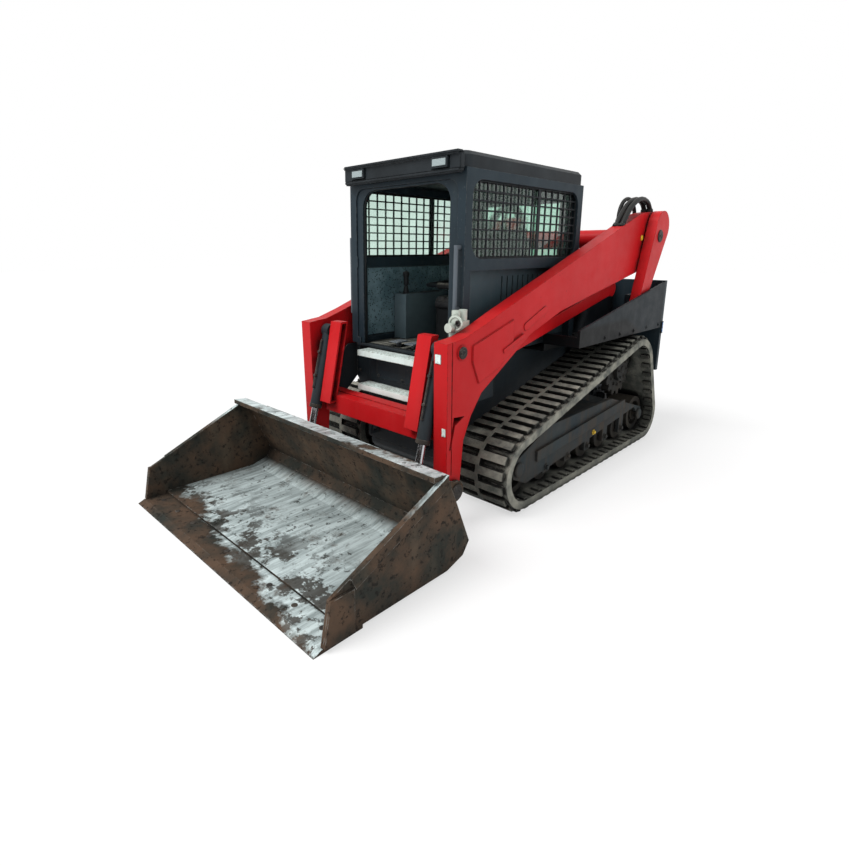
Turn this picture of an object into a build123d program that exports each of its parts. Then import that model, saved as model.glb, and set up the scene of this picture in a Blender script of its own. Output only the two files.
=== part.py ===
from build123d import *
import math
import os
from collections import namedtuple

# Compact track loader, millimetres. +X forward, +Y the machine's left, +Z up, ground at Z 0.

# Overall driving sizes
FRONT_X = 1898.0
REAR_X = -1898.0
BUCKET_HALF = 933.0
ROOF_TOP = 2078.0

# Clearances
GAP = 6.0
PIN_GAP = 0.05
SIDE_GAP = 10.0

# Across the machine, from the middle outwards: each row stands off the one before it
HULL_HALF = 330.0
RAM_SPACE = 106.0
TRACK_WIDE = 400.0
CAB_HALF = 490.0
CAB_INSET = 53.0
CONTROL_LINK_WIDE = 43.0
ARM_WIDE = 95.0
REAR_LINK_WIDE = 76.0
BODY_SKIN = 18.0
TILT_SPACE = 110.0
LIFT_CYL_Y = HULL_HALF + RAM_SPACE / 2 + 2.0
TRACK_IN = HULL_HALF + RAM_SPACE
TRACK_OUT = TRACK_IN + TRACK_WIDE
CAB_LOWER_HALF = CAB_HALF - CAB_INSET
CONTROL_LINK_IN = CAB_HALF + 2 * GAP
CONTROL_LINK_OUT = CONTROL_LINK_IN + CONTROL_LINK_WIDE
ARM_IN = CONTROL_LINK_OUT + SIDE_GAP
ARM_OUT = ARM_IN + ARM_WIDE
REAR_LINK_IN = ARM_OUT + 2 * GAP
REAR_LINK_OUT = REAR_LINK_IN + REAR_LINK_WIDE
BODY_IN = REAR_LINK_OUT + 1.5 * GAP
BODY_OUT = BODY_IN + BODY_SKIN
TILT_CYL_Y = ARM_IN - TILT_SPACE / 2

# Pivots of the lift linkage, (x, z)
REAR_LINK_PIVOT = (REAR_X + 423.0, 1143.0)
BOOM_PIVOT = (REAR_X + 200.0, 1655.0)
CONTROL_FRAME_PIVOT = (237.0, 910.0)
CONTROL_BOOM_PIVOT = (REAR_X + 548.0, 1247.0)
LIFT_FRAME_PIVOT = (REAR_X + 848.0, 600.0)
LIFT_BOOM_PIVOT = (REAR_X + 567.0, 1404.0)
TILT_BOOM_PIVOT = (680.0, 1015.0)
BUCKET_PIVOT = (725.0, 235.0)
TILT_CRANK = 170.0
TILT_CRANK_DEG = 51.7


def box(x0, x1, y0, y1, z0, z1):
    centre = Pos((x0 + x1) / 2, (y0 + y1) / 2, (z0 + z1) / 2)
    return centre * Box(x1 - x0, y1 - y0, z1 - z0)


def plate(points, y0, y1):
    wire = Wire.make_polygon([(x, y0, z) for x, z in points])
    return Solid.extrude(Face(wire), Vector(0, y1 - y0, 0))


def rod_y(centre, radius, y0, y1):
    x, z = centre
    return Pos(x, (y0 + y1) / 2, z) * Rot(90, 0, 0) * Cylinder(radius, y1 - y0)


def rod_between(start, end, radius):
    direction = Vector(*end) - Vector(*start)
    plane = Plane(origin=start, z_dir=direction)
    return plane * Cylinder(radius, direction.length, align=(Align.CENTER, Align.CENTER, Align.MIN))


def along(start, end, distance, offset=0.0):
    length = math.dist(start, end)
    ux = (end[0] - start[0]) / length
    uz = (end[1] - start[1]) / length
    return (start[0] + ux * distance - uz * offset, start[1] + uz * distance + ux * offset)


def bar(start, end, half_start, half_end, y0, y1):
    length = math.dist(start, end)
    corners = ((0, half_start), (0, -half_start), (length, -half_end), (length, half_end))
    return plate([along(start, end, d, o) for d, o in corners], y0, y1)


def sheet_line(points, thickness, y0, y1):
    left = []
    last = len(points) - 1
    for i, point in enumerate(points):
        before = points[max(i - 1, 0)]
        after = points[min(i + 1, last)]
        a = math.atan2(point[1] - before[1], point[0] - before[0]) if i else None
        b = math.atan2(after[1] - point[1], after[0] - point[0]) if i < last else a
        a = b if a is None else a
        middle = (a + b) / 2
        reach = thickness / math.cos((b - a) / 2)
        left.append((point[0] - math.sin(middle) * reach, point[1] + math.cos(middle) * reach))
    return plate(list(points) + left[::-1], y0, y1)


def fuse(shapes):
    first, *rest = shapes
    return first.fuse(*rest).clean()


def both(shapes):
    return Compound(children=[*shapes, *[mirror(s, about=Plane.XZ) for s in shapes]])


def opposite(shape):
    return mirror(shape, about=Plane.XZ)


os.makedirs("parts", exist_ok=True)


def save(name, shape):
    export_step(shape, "parts/" + name + ".step")


# Undercarriage: three wheels shape each belt, out to the lugs' tips
Wheel = namedtuple("Wheel", "x z outer")
FRONT_IDLER = Wheel(245.0, 250.0, 250.0)
SPROCKET = Wheel(REAR_X + 578.0, 618.0, 285.0)
REAR_IDLER = Wheel(REAR_X + 338.0, 215.0, 215.0)
BELT = 75.0
WHEEL_SEAT = 0.5
BELT_WHEELS = (FRONT_IDLER, SPROCKET, REAR_IDLER)


LUG_HIGH = 25.0
LUG_PITCH = 86.0
LUG_FOOT = 54.0
LUG_TIP = 44.0
LUG_ROOT = 3.0
LUG_MARGIN = 22.0
LUG_LAP = 12.0


def next_wheel(i):
    return BELT_WHEELS[(i + 1) % len(BELT_WHEELS)]


def run_angle(a, b):
    heading = math.atan2(b.z - a.z, b.x - a.x)
    return heading - math.pi / 2 + math.asin((a.outer - b.outer) / math.hypot(b.x - a.x, b.z - a.z))


def belt_arcs():
    leaving = [run_angle(wheel, next_wheel(i)) for i, wheel in enumerate(BELT_WHEELS)]
    arcs = []
    for i, wheel in enumerate(BELT_WHEELS):
        end = leaving[i]
        while end < leaving[i - 1]:
            end += 2 * math.pi
        arcs.append((wheel, leaving[i - 1], end))
    return arcs


def round_wheel(wheel, radius, angle):
    return (wheel.x + radius * math.cos(angle), wheel.z + radius * math.sin(angle))


def belt_face(inset, y):
    corners = []
    for wheel, start, end in belt_arcs():
        angles = (start, (start + end) / 2, end)
        corners.append([(x, y, z) for x, z in (round_wheel(wheel, wheel.outer - inset, a) for a in angles)])
    parts = []
    for i, arc in enumerate(corners):
        parts.append(Edge.make_three_point_arc(*arc))
        parts.append(Edge.make_line(arc[2], corners[(i + 1) % len(corners)][0]))
    return Face(Wire(parts))


def belt_solid(inset, y0, y1):
    return Solid.extrude(belt_face(inset, y0), Vector(0, y1 - y0, 0))


def belt_spans():
    spans = []
    for i, (wheel, start, end) in enumerate(belt_arcs()):
        following = next_wheel(i)
        centres = math.hypot(following.x - wheel.x, following.z - wheel.z)
        run = math.sqrt(centres ** 2 - (wheel.outer - following.outer) ** 2)
        spans.append((wheel, start, end, (wheel.outer - LUG_HIGH) * (end - start), run))
    return spans


def belt_point(distance, rise):
    """The point that far along the carcass, and that far out from it."""
    distance %= sum(arc + run for _, _, _, arc, run in belt_spans())
    for wheel, start, end, arc, run in belt_spans():
        radius = wheel.outer - LUG_HIGH
        if distance <= arc:
            return round_wheel(wheel, radius + rise, start + distance / radius)
        distance -= arc
        if distance <= run:
            x, z = round_wheel(wheel, radius + rise, end)
            return (x - distance * math.sin(end), z + distance * math.cos(end))
        distance -= run


carcass = belt_solid(LUG_HIGH, TRACK_IN, TRACK_OUT) - belt_solid(BELT, TRACK_IN - GAP, TRACK_OUT + GAP)
belt_length = sum(arc + run for _, _, _, arc, run in belt_spans())
lug_count = round(belt_length / LUG_PITCH)
lug_pitch = belt_length / lug_count
lug_middle = (TRACK_IN + TRACK_OUT) / 2
LUG_ROWS = (
    (0.0, TRACK_IN + LUG_MARGIN, lug_middle + LUG_LAP),
    (lug_pitch / 2, lug_middle - LUG_LAP, TRACK_OUT - LUG_MARGIN),
)
track_lugs = []
for offset, row_in, row_out in LUG_ROWS:
    for i in range(lug_count):
        middle = i * lug_pitch + offset
        section = [belt_point(middle - LUG_FOOT / 2, -LUG_ROOT), belt_point(middle - LUG_TIP / 2, LUG_HIGH)]
        section += [belt_point(middle + LUG_TIP / 2, LUG_HIGH), belt_point(middle + LUG_FOOT / 2, -LUG_ROOT)]
        track_lugs.append(plate(section, row_in, row_out))
save("tracks", both([carcass.fuse(*track_lugs)]))

TRACK_MIDDLE = (TRACK_IN + TRACK_OUT) / 2
FRAME_PLATE = 30.0
FRAME_HALF = 130.0
FRAME_TOP = 450.0
FRAME_BOTTOM = 130.0
AXLE_R = 25.0
ROLLER_R = 95.0
ROLLER_COUNT = 5
ROLLER_FIRST_X = -90.0
ROLLER_LAST_X = REAR_IDLER.x + 330.0
ROLLER_PITCH = (ROLLER_FIRST_X - ROLLER_LAST_X) / (ROLLER_COUNT - 1)
CROSS_BEAM_X = (-100.0, REAR_IDLER.x + 660.0)
CROSS_BEAM_HALF = 60.0
CROSS_BEAM_Z = (330.0, 430.0)
INNER_PLATE = (TRACK_MIDDLE - FRAME_HALF, TRACK_MIDDLE - FRAME_HALF + FRAME_PLATE)
OUTER_PLATE = (TRACK_MIDDLE + FRAME_HALF - FRAME_PLATE, TRACK_MIDDLE + FRAME_HALF)

roller_z = BELT + ROLLER_R
roller_centres = [(ROLLER_FIRST_X - ROLLER_PITCH * i, roller_z) for i in range(ROLLER_COUNT)]
idler_centres = [(w.x, w.z) for w in (FRONT_IDLER, REAR_IDLER)]
frame_outline = (
    (FRONT_IDLER.x + 2 * AXLE_R, FRONT_IDLER.z - 2 * AXLE_R),
    (FRONT_IDLER.x + 2 * AXLE_R, FRONT_IDLER.z + 2 * AXLE_R),
    (CROSS_BEAM_X[0], FRAME_TOP),
    (CROSS_BEAM_X[1] - 2 * CROSS_BEAM_HALF, FRAME_TOP),
    (REAR_IDLER.x - 2 * AXLE_R, REAR_IDLER.z + 2 * AXLE_R),
    (REAR_IDLER.x - 2 * AXLE_R, REAR_IDLER.z - 2 * AXLE_R),
    (REAR_IDLER.x + ROLLER_R, FRAME_BOTTOM),
    (FRONT_IDLER.x - ROLLER_R, FRAME_BOTTOM),
)
OUTER_LOW_REAR = 290.0
BRACKET_WIDE = 76.0
BRACKET_LOW = 135.0
RAIL_PROUD = 18.0
RAIL_HALF = 36.0
outer_outline = (*frame_outline[:-2], (REAR_IDLER.x + ROLLER_R, OUTER_LOW_REAR), frame_outline[-1])
frame_parts = [plate(frame_outline, *INNER_PLATE), plate(outer_outline, *OUTER_PLATE)]
rail_rear = (ROLLER_LAST_X, (FRAME_TOP + OUTER_LOW_REAR) / 2)
rail_front = (FRONT_IDLER.x - 2 * ROLLER_R, FRONT_IDLER.z + RAIL_HALF)
rail_out = OUTER_PLATE[1] + RAIL_PROUD
frame_parts.append(bar(rail_rear, rail_front, RAIL_HALF, RAIL_HALF, OUTER_PLATE[1], rail_out))
frame_parts.append(box(CROSS_BEAM_X[1], CROSS_BEAM_X[0], INNER_PLATE[1], OUTER_PLATE[0], *CROSS_BEAM_Z))
for beam_x in CROSS_BEAM_X:
    frame_parts.append(
        box(beam_x - CROSS_BEAM_HALF, beam_x + CROSS_BEAM_HALF, HULL_HALF, INNER_PLATE[0], *CROSS_BEAM_Z)
    )
ROLL_IN = INNER_PLATE[1] + GAP
ROLL_OUT = OUTER_PLATE[0] - GAP
for x, z in roller_centres:
    half = BRACKET_WIDE / 2
    frame_parts.append(box(x - half, x + half, *OUTER_PLATE, BRACKET_LOW, OUTER_LOW_REAR + half))
for centre in roller_centres + idler_centres:
    frame_parts.append(rod_y(centre, AXLE_R, INNER_PLATE[0], ROLL_IN))
    frame_parts.append(rod_y(centre, AXLE_R, ROLL_OUT, OUTER_PLATE[1]))
save("track_frames", both([fuse(frame_parts)]))

FLANGE_WIDE = 45.0
FLANGE_STEP = 14.0
rollers = []
for centre in roller_centres:
    rollers.append(fuse([
        rod_y(centre, ROLLER_R, ROLL_IN, ROLL_IN + FLANGE_WIDE),
        rod_y(centre, ROLLER_R - FLANGE_STEP, ROLL_IN + FLANGE_WIDE, ROLL_OUT - FLANGE_WIDE),
        rod_y(centre, ROLLER_R, ROLL_OUT - FLANGE_WIDE, ROLL_OUT),
    ]))
save("track_rollers", both(rollers))

IDLER_RIM = 38.0
IDLER_HUB = 62.0
IDLER_DISH = 40.0
idlers = []
for wheel in (FRONT_IDLER, REAR_IDLER):
    centre = (wheel.x, wheel.z)
    rim = wheel.outer - BELT - WHEEL_SEAT
    idler = rod_y(centre, rim, ROLL_IN, ROLL_OUT)
    for y0, y1 in ((ROLL_IN, ROLL_IN + IDLER_DISH), (ROLL_OUT - IDLER_DISH, ROLL_OUT)):
        idler -= rod_y(centre, rim - IDLER_RIM, y0, y1) - rod_y(centre, IDLER_HUB, y0, y1)
    idlers.append(idler)
save("track_idlers", both(idlers))

FINAL_DRIVE_R = 118.0
SPROCKET_WIDE = 60.0
sprocket_in = TRACK_MIDDLE - SPROCKET_WIDE / 2
SPROCKET_TEETH = 15
TOOTH_DEEP = 30.0
TOOTH_FOOT = 0.36
TOOTH_TIP = 0.18
HUB_CAP_R = 92.0
HUB_CAP_LONG = 34.0
sprocket_out = sprocket_in + SPROCKET_WIDE
sprocket_centre = (SPROCKET.x, SPROCKET.z)
drive = rod_y(sprocket_centre, FINAL_DRIVE_R, HULL_HALF, sprocket_in)
hub_cap = rod_y(sprocket_centre, HUB_CAP_R, sprocket_out, sprocket_out + HUB_CAP_LONG)
save("final_drives", both([drive, hub_cap]))
sprocket_rim = SPROCKET.outer - BELT - WHEEL_SEAT
tooth_steps = ((-TOOTH_FOOT, TOOTH_DEEP), (-TOOTH_TIP, 0.0), (TOOTH_TIP, 0.0), (TOOTH_FOOT, TOOTH_DEEP))
tooth_outline = []
for i in range(SPROCKET_TEETH):
    for share, drop in tooth_steps:
        angle = 2 * math.pi * (i + share) / SPROCKET_TEETH
        tooth_outline.append(round_wheel(SPROCKET, sprocket_rim - drop, angle))
save("sprockets", both([plate(tooth_outline, sprocket_in, sprocket_out)]))

# Main frame: open-topped tub with the lift-cylinder pins and the pylons for the control links
TUB_FRONT = 470.0
TUB_REAR = REAR_X + 88.0
TUB_BOTTOM = 250.0
TUB_TOP = 900.0
TUB_WALL = 12.0
DOOR_BOTTOM = 560.0
PYLON_IN = CAB_LOWER_HALF + 2 * GAP
PYLON_OUT = CONTROL_LINK_IN - GAP
PYLON_HALF = 85.0
PYLON_FOOT_Z = (640.0, 740.0)
LINK_PIN_R = 30.0
LINK_EYE_R = 60.0
CYL_PIN_R = 26.0
LIFT_EYE_HALF = 33.0

tub = box(TUB_REAR, TUB_FRONT, -HULL_HALF, HULL_HALF, TUB_BOTTOM, TUB_TOP)
tub -= box(
    TUB_REAR + TUB_WALL, TUB_FRONT - TUB_WALL, TUB_WALL - HULL_HALF, HULL_HALF - TUB_WALL,
    TUB_BOTTOM + TUB_WALL, TUB_TOP + GAP,
)
tub_inner = HULL_HALF - TUB_WALL
tub -= box(TUB_REAR - GAP, TUB_REAR + 2 * TUB_WALL, -tub_inner, tub_inner, DOOR_BOTTOM, TUB_TOP + GAP)
lift_pin = rod_y(LIFT_FRAME_PIVOT, CYL_PIN_R, HULL_HALF, LIFT_CYL_Y + LIFT_EYE_HALF + GAP)
px, pz = CONTROL_FRAME_PIVOT
pylon_outline = (
    (px - PYLON_HALF, PYLON_FOOT_Z[0]),
    (px + PYLON_HALF, PYLON_FOOT_Z[0]),
    (px + LINK_EYE_R, pz + LINK_EYE_R),
    (px - LINK_EYE_R, pz + LINK_EYE_R),
)
pylon = plate(pylon_outline, PYLON_IN, PYLON_OUT)
foot = box(px - PYLON_HALF, px + PYLON_HALF, HULL_HALF, PYLON_IN, *PYLON_FOOT_Z)
pylon_pin = rod_y(CONTROL_FRAME_PIVOT, LINK_PIN_R, PYLON_OUT, CONTROL_LINK_OUT + GAP / 2)
side_pieces = [lift_pin, pylon, foot, pylon_pin]
main_frame = fuse([tub, *side_pieces, *[opposite(s) for s in side_pieces]])
save("main_frame", main_frame)

CAB_REAR = REAR_X + 1048.0
BAY_FRONT = CAB_REAR - 50.0
ENGINE_SPACE = 310.0
ENGINE_X = (TUB_REAR + ENGINE_SPACE, BAY_FRONT - 50.0)
ENGINE_HALF = 240.0
ENGINE_TOP = 1000.0
save("engine_block", box(*ENGINE_X, -ENGINE_HALF, ENGINE_HALF, TUB_BOTTOM + TUB_WALL, ENGINE_TOP))

# Engine bay, hood and rear corner posts
BAY_REAR = REAR_X + 38.0
HOOD_BOTTOM = 1290.0
HOOD_THICK = 15.0
POST_Z = (540.0, 1300.0)
bay = box(BAY_REAR, BAY_FRONT, -HULL_HALF, HULL_HALF, TUB_TOP, HOOD_BOTTOM)
bay -= box(
    BAY_REAR - GAP, BAY_FRONT - TUB_WALL, -tub_inner, tub_inner, TUB_TOP - GAP, HOOD_BOTTOM + GAP
)
save("engine_bay", bay)

SLOT_COUNT = 9
SLOT_PITCH = 80.0
SLOT_LONG = 420.0
SLOT_WIDE = 30.0
hood = box(BAY_REAR, BAY_FRONT, -HULL_HALF, HULL_HALF, HOOD_BOTTOM, HOOD_BOTTOM + HOOD_THICK)
hood_mid = (BAY_REAR + BAY_FRONT) / 2
for i in range(SLOT_COUNT):
    slot_x = hood_mid + (i - (SLOT_COUNT - 1) / 2) * SLOT_PITCH
    hood -= box(
        slot_x - SLOT_WIDE / 2, slot_x + SLOT_WIDE / 2, -SLOT_LONG / 2, SLOT_LONG / 2,
        HOOD_BOTTOM - GAP, HOOD_BOTTOM + HOOD_THICK + GAP,
    )
save("engine_hood", hood)

# Rear door between the posts, on two knuckled hinges at the right post
DOOR_THICK = 30.0
DOOR_HALF = HULL_HALF - TUB_WALL - GAP
KNUCKLE_R = 9.0
HINGE_PIN_R = 4.0
KNUCKLE_HIGH = 60.0
LEAF = 60.0
HINGE_LOWS = (640.0, 1080.0)
hinge_x = REAR_X + KNUCKLE_R
hinge_y = -DOOR_HALF - GAP / 2
door_back = hinge_x + KNUCKLE_R + 1.0


def upright(radius, low, high):
    return rod_between((hinge_x, hinge_y, low), (hinge_x, hinge_y, high), radius)


post = box(REAR_X, BAY_REAR, HULL_HALF - TUB_WALL, BODY_OUT, *POST_Z)
right_post = opposite(post)
door = box(door_back, door_back + DOOR_THICK, -DOOR_HALF, DOOR_HALF, DOOR_BOTTOM, HOOD_BOTTOM - GAP)
for low in HINGE_LOWS:
    middle = low + KNUCKLE_HIGH
    high = middle + KNUCKLE_HIGH
    right_post -= upright(KNUCKLE_R + 1.0, middle - 1.0, high + 1.0)
    right_post = fuse([right_post, upright(KNUCKLE_R, low, middle - 1.0), upright(HINGE_PIN_R, low, high)])
    leaf = box(hinge_x, door_back, hinge_y, hinge_y + LEAF, middle, high)
    knuckle = upright(KNUCKLE_R, middle, high) - upright(HINGE_PIN_R + PIN_GAP, middle, high)
    leaf -= upright(KNUCKLE_R - 1.0, middle - 1.0, high + 1.0)
    door = fuse([door, leaf, knuckle])
save("rear_posts", Compound(children=[post, right_post]))
GRILLE_ROWS = 8
GRILLE_PITCH = 60.0
GRILLE_HIGH = 28.0
GRILLE_HALF = 230.0
GRILLE_BASE = 700.0
for i in range(GRILLE_ROWS):
    low = GRILLE_BASE + i * GRILLE_PITCH
    door -= box(REAR_X, BAY_REAR + DOOR_THICK, -GRILLE_HALF, GRILLE_HALF, low, low + GRILLE_HIGH)
save("rear_door", door)

LAMP_THICK = 10.0
REAR_LAMP_Z = (860.0, 960.0)
rear_lamp = box(REAR_X + GAP, BAY_REAR - GAP, BODY_OUT, BODY_OUT + LAMP_THICK, *REAR_LAMP_Z)
save("rear_lamps", both([rear_lamp]))

# Side bodies over the tracks: skin, shelf, front end and the bracket of the rear link
SHELF_Z = 912.0
SHELF_THICK = 12.0
SHELF_IN = 440.0
CAB_SIDE_IN = CAB_HALF + GAP
SKIN_FRONT = CAB_REAR + 430.0
SKIN_FRONT_TOP = 1030.0
SKIN_REAR_TOP = 1290.0
END_TOP = 985.0
REAR_TAB = (BAY_REAR, ENGINE_X[0])
FRONT_TAB = (CAB_REAR - 40.0, SKIN_FRONT)
FRONT_TAB_Z = TUB_TOP - 40.0
TAB_DROP = 70.0
BRACKET_THICK = 34.0
BRACKET_OUT = REAR_LINK_IN - GAP
BRACKET_IN = BRACKET_OUT - BRACKET_THICK
BRACKET_HALF = 85.0
ax, az = REAR_LINK_PIVOT
skin_outline = (
    (BAY_REAR, SHELF_Z),
    (SKIN_FRONT, SHELF_Z),
    (SKIN_FRONT, SKIN_FRONT_TOP),
    (BAY_REAR, SKIN_REAR_TOP),
)
side_parts = [
    plate(skin_outline, BODY_IN, BODY_OUT),
    box(BAY_REAR, FRONT_TAB[0], SHELF_IN, BODY_IN, SHELF_Z, SHELF_Z + SHELF_THICK),
    box(*FRONT_TAB, CAB_SIDE_IN, BODY_IN, SHELF_Z, SHELF_Z + SHELF_THICK),
    box(SKIN_FRONT - SHELF_THICK, SKIN_FRONT, CAB_SIDE_IN, BODY_IN, SHELF_Z, END_TOP),
    rod_y(REAR_LINK_PIVOT, LINK_PIN_R, BRACKET_OUT, BODY_IN),
]
bracket_outline = (
    (ax - BRACKET_HALF, SHELF_Z),
    (ax + BRACKET_HALF, SHELF_Z),
    (ax + LINK_EYE_R, az + LINK_EYE_R),
    (ax - LINK_EYE_R, az + LINK_EYE_R),
)
side_parts.append(plate(bracket_outline, BRACKET_IN, BRACKET_OUT))
side_parts.append(box(*REAR_TAB, HULL_HALF, SHELF_IN, SHELF_Z, SHELF_Z + SHELF_THICK))
side_parts.append(box(*REAR_TAB, HULL_HALF, HULL_HALF + SHELF_THICK, SHELF_Z - TAB_DROP, SHELF_Z))
tab_out = CAB_SIDE_IN + SHELF_THICK
side_parts.append(box(*FRONT_TAB, HULL_HALF, tab_out, FRONT_TAB_Z, FRONT_TAB_Z + SHELF_THICK))
side_parts.append(box(*FRONT_TAB, CAB_SIDE_IN, CAB_SIDE_IN + SHELF_THICK, FRONT_TAB_Z, SHELF_Z))
save("side_bodies", both([fuse(side_parts)]))

# Tie-down lugs at the tub's four corners
LUG_LONG = 76.0
LUG_THICK = 25.0
LUG_Y = 230.0
LUG_Z = (300.0, 380.0)
LUG_BORE_R = 22.0
lug_z_mid = sum(LUG_Z) / 2
lugs = []
for face_x, outwards in ((TUB_FRONT, 1), (TUB_REAR, -1)):
    tip_x = face_x + outwards * LUG_LONG
    hole = (face_x + outwards * LUG_LONG / 2, lug_z_mid)
    lug = box(min(face_x, tip_x), max(face_x, tip_x), LUG_Y, LUG_Y + LUG_THICK, *LUG_Z)
    lugs.append(lug - rod_y(hole, LUG_BORE_R, LUG_Y - GAP, LUG_Y + LUG_THICK + GAP))
save("tie_down_lugs", both(lugs))

# Front steps: two folded treads on the tub's front
STEP_FRONT = 580.0
STEP_HALF = HULL_HALF - GAP
STEP_THICK = 8.0
STEP_LIP = 38.0
STEP_TOPS = (890.0, 655.0)
GRIP_COUNT = 4
GRIP_PITCH = 22.0
GRIP_WIDE = 8.0
GRIP_RISE = 5.0
GRIP_END = 15.0
steps = []
for top in STEP_TOPS:
    tread = box(TUB_FRONT, STEP_FRONT, -STEP_HALF, STEP_HALF, top - STEP_THICK, top)
    lip = box(STEP_FRONT - STEP_THICK, STEP_FRONT, -STEP_HALF, STEP_HALF, top - STEP_LIP, top)
    flange = box(TUB_FRONT, TUB_FRONT + STEP_THICK, -STEP_HALF, STEP_HALF, top - STEP_LIP, top)
    grips = []
    grip_half = STEP_HALF - GRIP_END
    for i in range(GRIP_COUNT):
        grip_x = STEP_FRONT - STEP_THICK - i * GRIP_PITCH
        grips.append(box(grip_x - GRIP_WIDE, grip_x, -grip_half, grip_half, top, top + GRIP_RISE))
    steps.append(fuse([tread, lip, flange, *grips]))
save("front_steps", Compound(children=steps))

# Cab
CAB_FRONT = 480.0
CAB_FLOOR_THICK = 15.0
POST_DEEP = 60.0
POST_WIDE = CAB_INSET + GAP
RAIL_Z = (1432.0, 1500.0)
ROOF_BOTTOM = 1990.0
HEADER_BOTTOM = 1935.0
SILL_HIGH = 40.0
SILL_WIDE = 37.0
PANEL = 12.0
floor_top = TUB_TOP + CAB_FLOOR_THICK
save("cab_floor", box(CAB_REAR, CAB_FRONT, -CAB_LOWER_HALF, CAB_LOWER_HALF, TUB_TOP, floor_top))

side_frame = []
for x0 in (CAB_REAR, CAB_FRONT - POST_DEEP):
    side_frame.append(box(x0, x0 + POST_DEEP, CAB_HALF - POST_WIDE, CAB_HALF, floor_top, ROOF_BOTTOM))
sill_top = floor_top + SILL_HIGH
side_frame.append(box(CAB_REAR, CAB_FRONT, CAB_LOWER_HALF - SILL_WIDE, CAB_LOWER_HALF, floor_top, sill_top))
side_frame.append(box(CAB_REAR, CAB_FRONT, CAB_LOWER_HALF - PANEL, CAB_HALF, *RAIL_Z))
side_frame.append(box(CAB_REAR, CAB_FRONT, CAB_HALF - POST_WIDE, CAB_HALF, HEADER_BOTTOM, ROOF_BOTTOM))
headers = []
for x0 in (CAB_REAR, CAB_FRONT - POST_DEEP):
    header_half = CAB_HALF - POST_WIDE / 2
    headers.append(box(x0, x0 + POST_DEEP, -header_half, header_half, HEADER_BOTTOM, ROOF_BOTTOM))
WINDOW_CORNER_R = 95.0
DOOR_CORNER_R = 70.0
CORNER_THICK = 16.0
window_x = (CAB_REAR + POST_DEEP, CAB_FRONT - POST_DEEP)
window_z = (RAIL_Z[1], HEADER_BOTTOM)
for x, inwards in zip(window_x, (1, -1)):
    for z, upwards in zip(window_z, (1, -1)):
        middle = (x + inwards * WINDOW_CORNER_R, z + upwards * WINDOW_CORNER_R)
        across = sorted((x, middle[0]))
        rise = sorted((z, middle[1]))
        corner = box(*across, CAB_HALF - CORNER_THICK, CAB_HALF, *rise)
        side_frame.append(corner - rod_y(middle, WINDOW_CORNER_R, CAB_HALF - CORNER_THICK, CAB_HALF))
door_side = CAB_HALF - POST_WIDE
door_middle = (door_side - DOOR_CORNER_R, HEADER_BOTTOM - DOOR_CORNER_R)
corner_back = CAB_FRONT - CORNER_THICK
door_corner = box(corner_back, CAB_FRONT, door_middle[0], door_side, door_middle[1], HEADER_BOTTOM)
door_corner -= rod_between((corner_back, *door_middle), (CAB_FRONT, *door_middle), DOOR_CORNER_R)
side_frame.append(door_corner)
save("cab_frame", fuse([*side_frame, *[opposite(s) for s in side_frame], *headers]))

SIDE_SLOTS = 12
SIDE_SLOT_PITCH = 60.0
SIDE_SLOT_WIDE = 14.0
SIDE_SLOT_Z = (1230.0, 1390.0)
SIDE_SLOT_X = CAB_REAR + 210.0
side_panel = box(
    CAB_REAR + POST_DEEP, CAB_FRONT - POST_DEEP, CAB_LOWER_HALF - PANEL, CAB_LOWER_HALF,
    floor_top + SILL_HIGH, RAIL_Z[0],
)
for i in range(SIDE_SLOTS):
    x0 = SIDE_SLOT_X + i * SIDE_SLOT_PITCH
    slot_y = (CAB_LOWER_HALF - 2 * PANEL, CAB_LOWER_HALF + PANEL)
    side_panel -= box(x0, x0 + SIDE_SLOT_WIDE, *slot_y, *SIDE_SLOT_Z)
save("cab_side_panels", both([side_panel]))

MESH_COLUMNS = 15
MESH_ROWS = 8
STIFFENER_COLUMN = 6
STIFFENER_WIDE = 30.0
MESH_WIRE = 9.0
MESH_Y = CAB_HALF - CAB_INSET / 2
mesh_x = (CAB_REAR + POST_DEEP, CAB_FRONT - POST_DEEP)
mesh_z = (RAIL_Z[1], HEADER_BOTTOM)
column_pitch = (mesh_x[1] - mesh_x[0] - MESH_WIRE) / MESH_COLUMNS
row_pitch = (mesh_z[1] - mesh_z[0] - MESH_WIRE) / MESH_ROWS
mesh = box(*mesh_x, MESH_Y, MESH_Y + MESH_WIRE, *mesh_z)
holes = []
for i in range(MESH_COLUMNS):
    for j in range(MESH_ROWS):
        hx = mesh_x[0] + MESH_WIRE + i * column_pitch
        hz = mesh_z[0] + MESH_WIRE + j * row_pitch
        hole_x = (hx, hx + column_pitch - MESH_WIRE)
        hole_z = (hz, hz + row_pitch - MESH_WIRE)
        holes.append(box(*hole_x, MESH_Y - GAP, MESH_Y + 2 * MESH_WIRE, *hole_z))
stiffener_x = mesh_x[0] + MESH_WIRE / 2 + STIFFENER_COLUMN * column_pitch
stiffener_half = STIFFENER_WIDE / 2
stiffener = box(
    stiffener_x - stiffener_half, stiffener_x + stiffener_half, MESH_Y, MESH_Y + MESH_WIRE, *mesh_z
)
mesh = fuse([mesh.cut(*holes), stiffener])
save("cab_side_meshes", both([mesh]))

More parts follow.
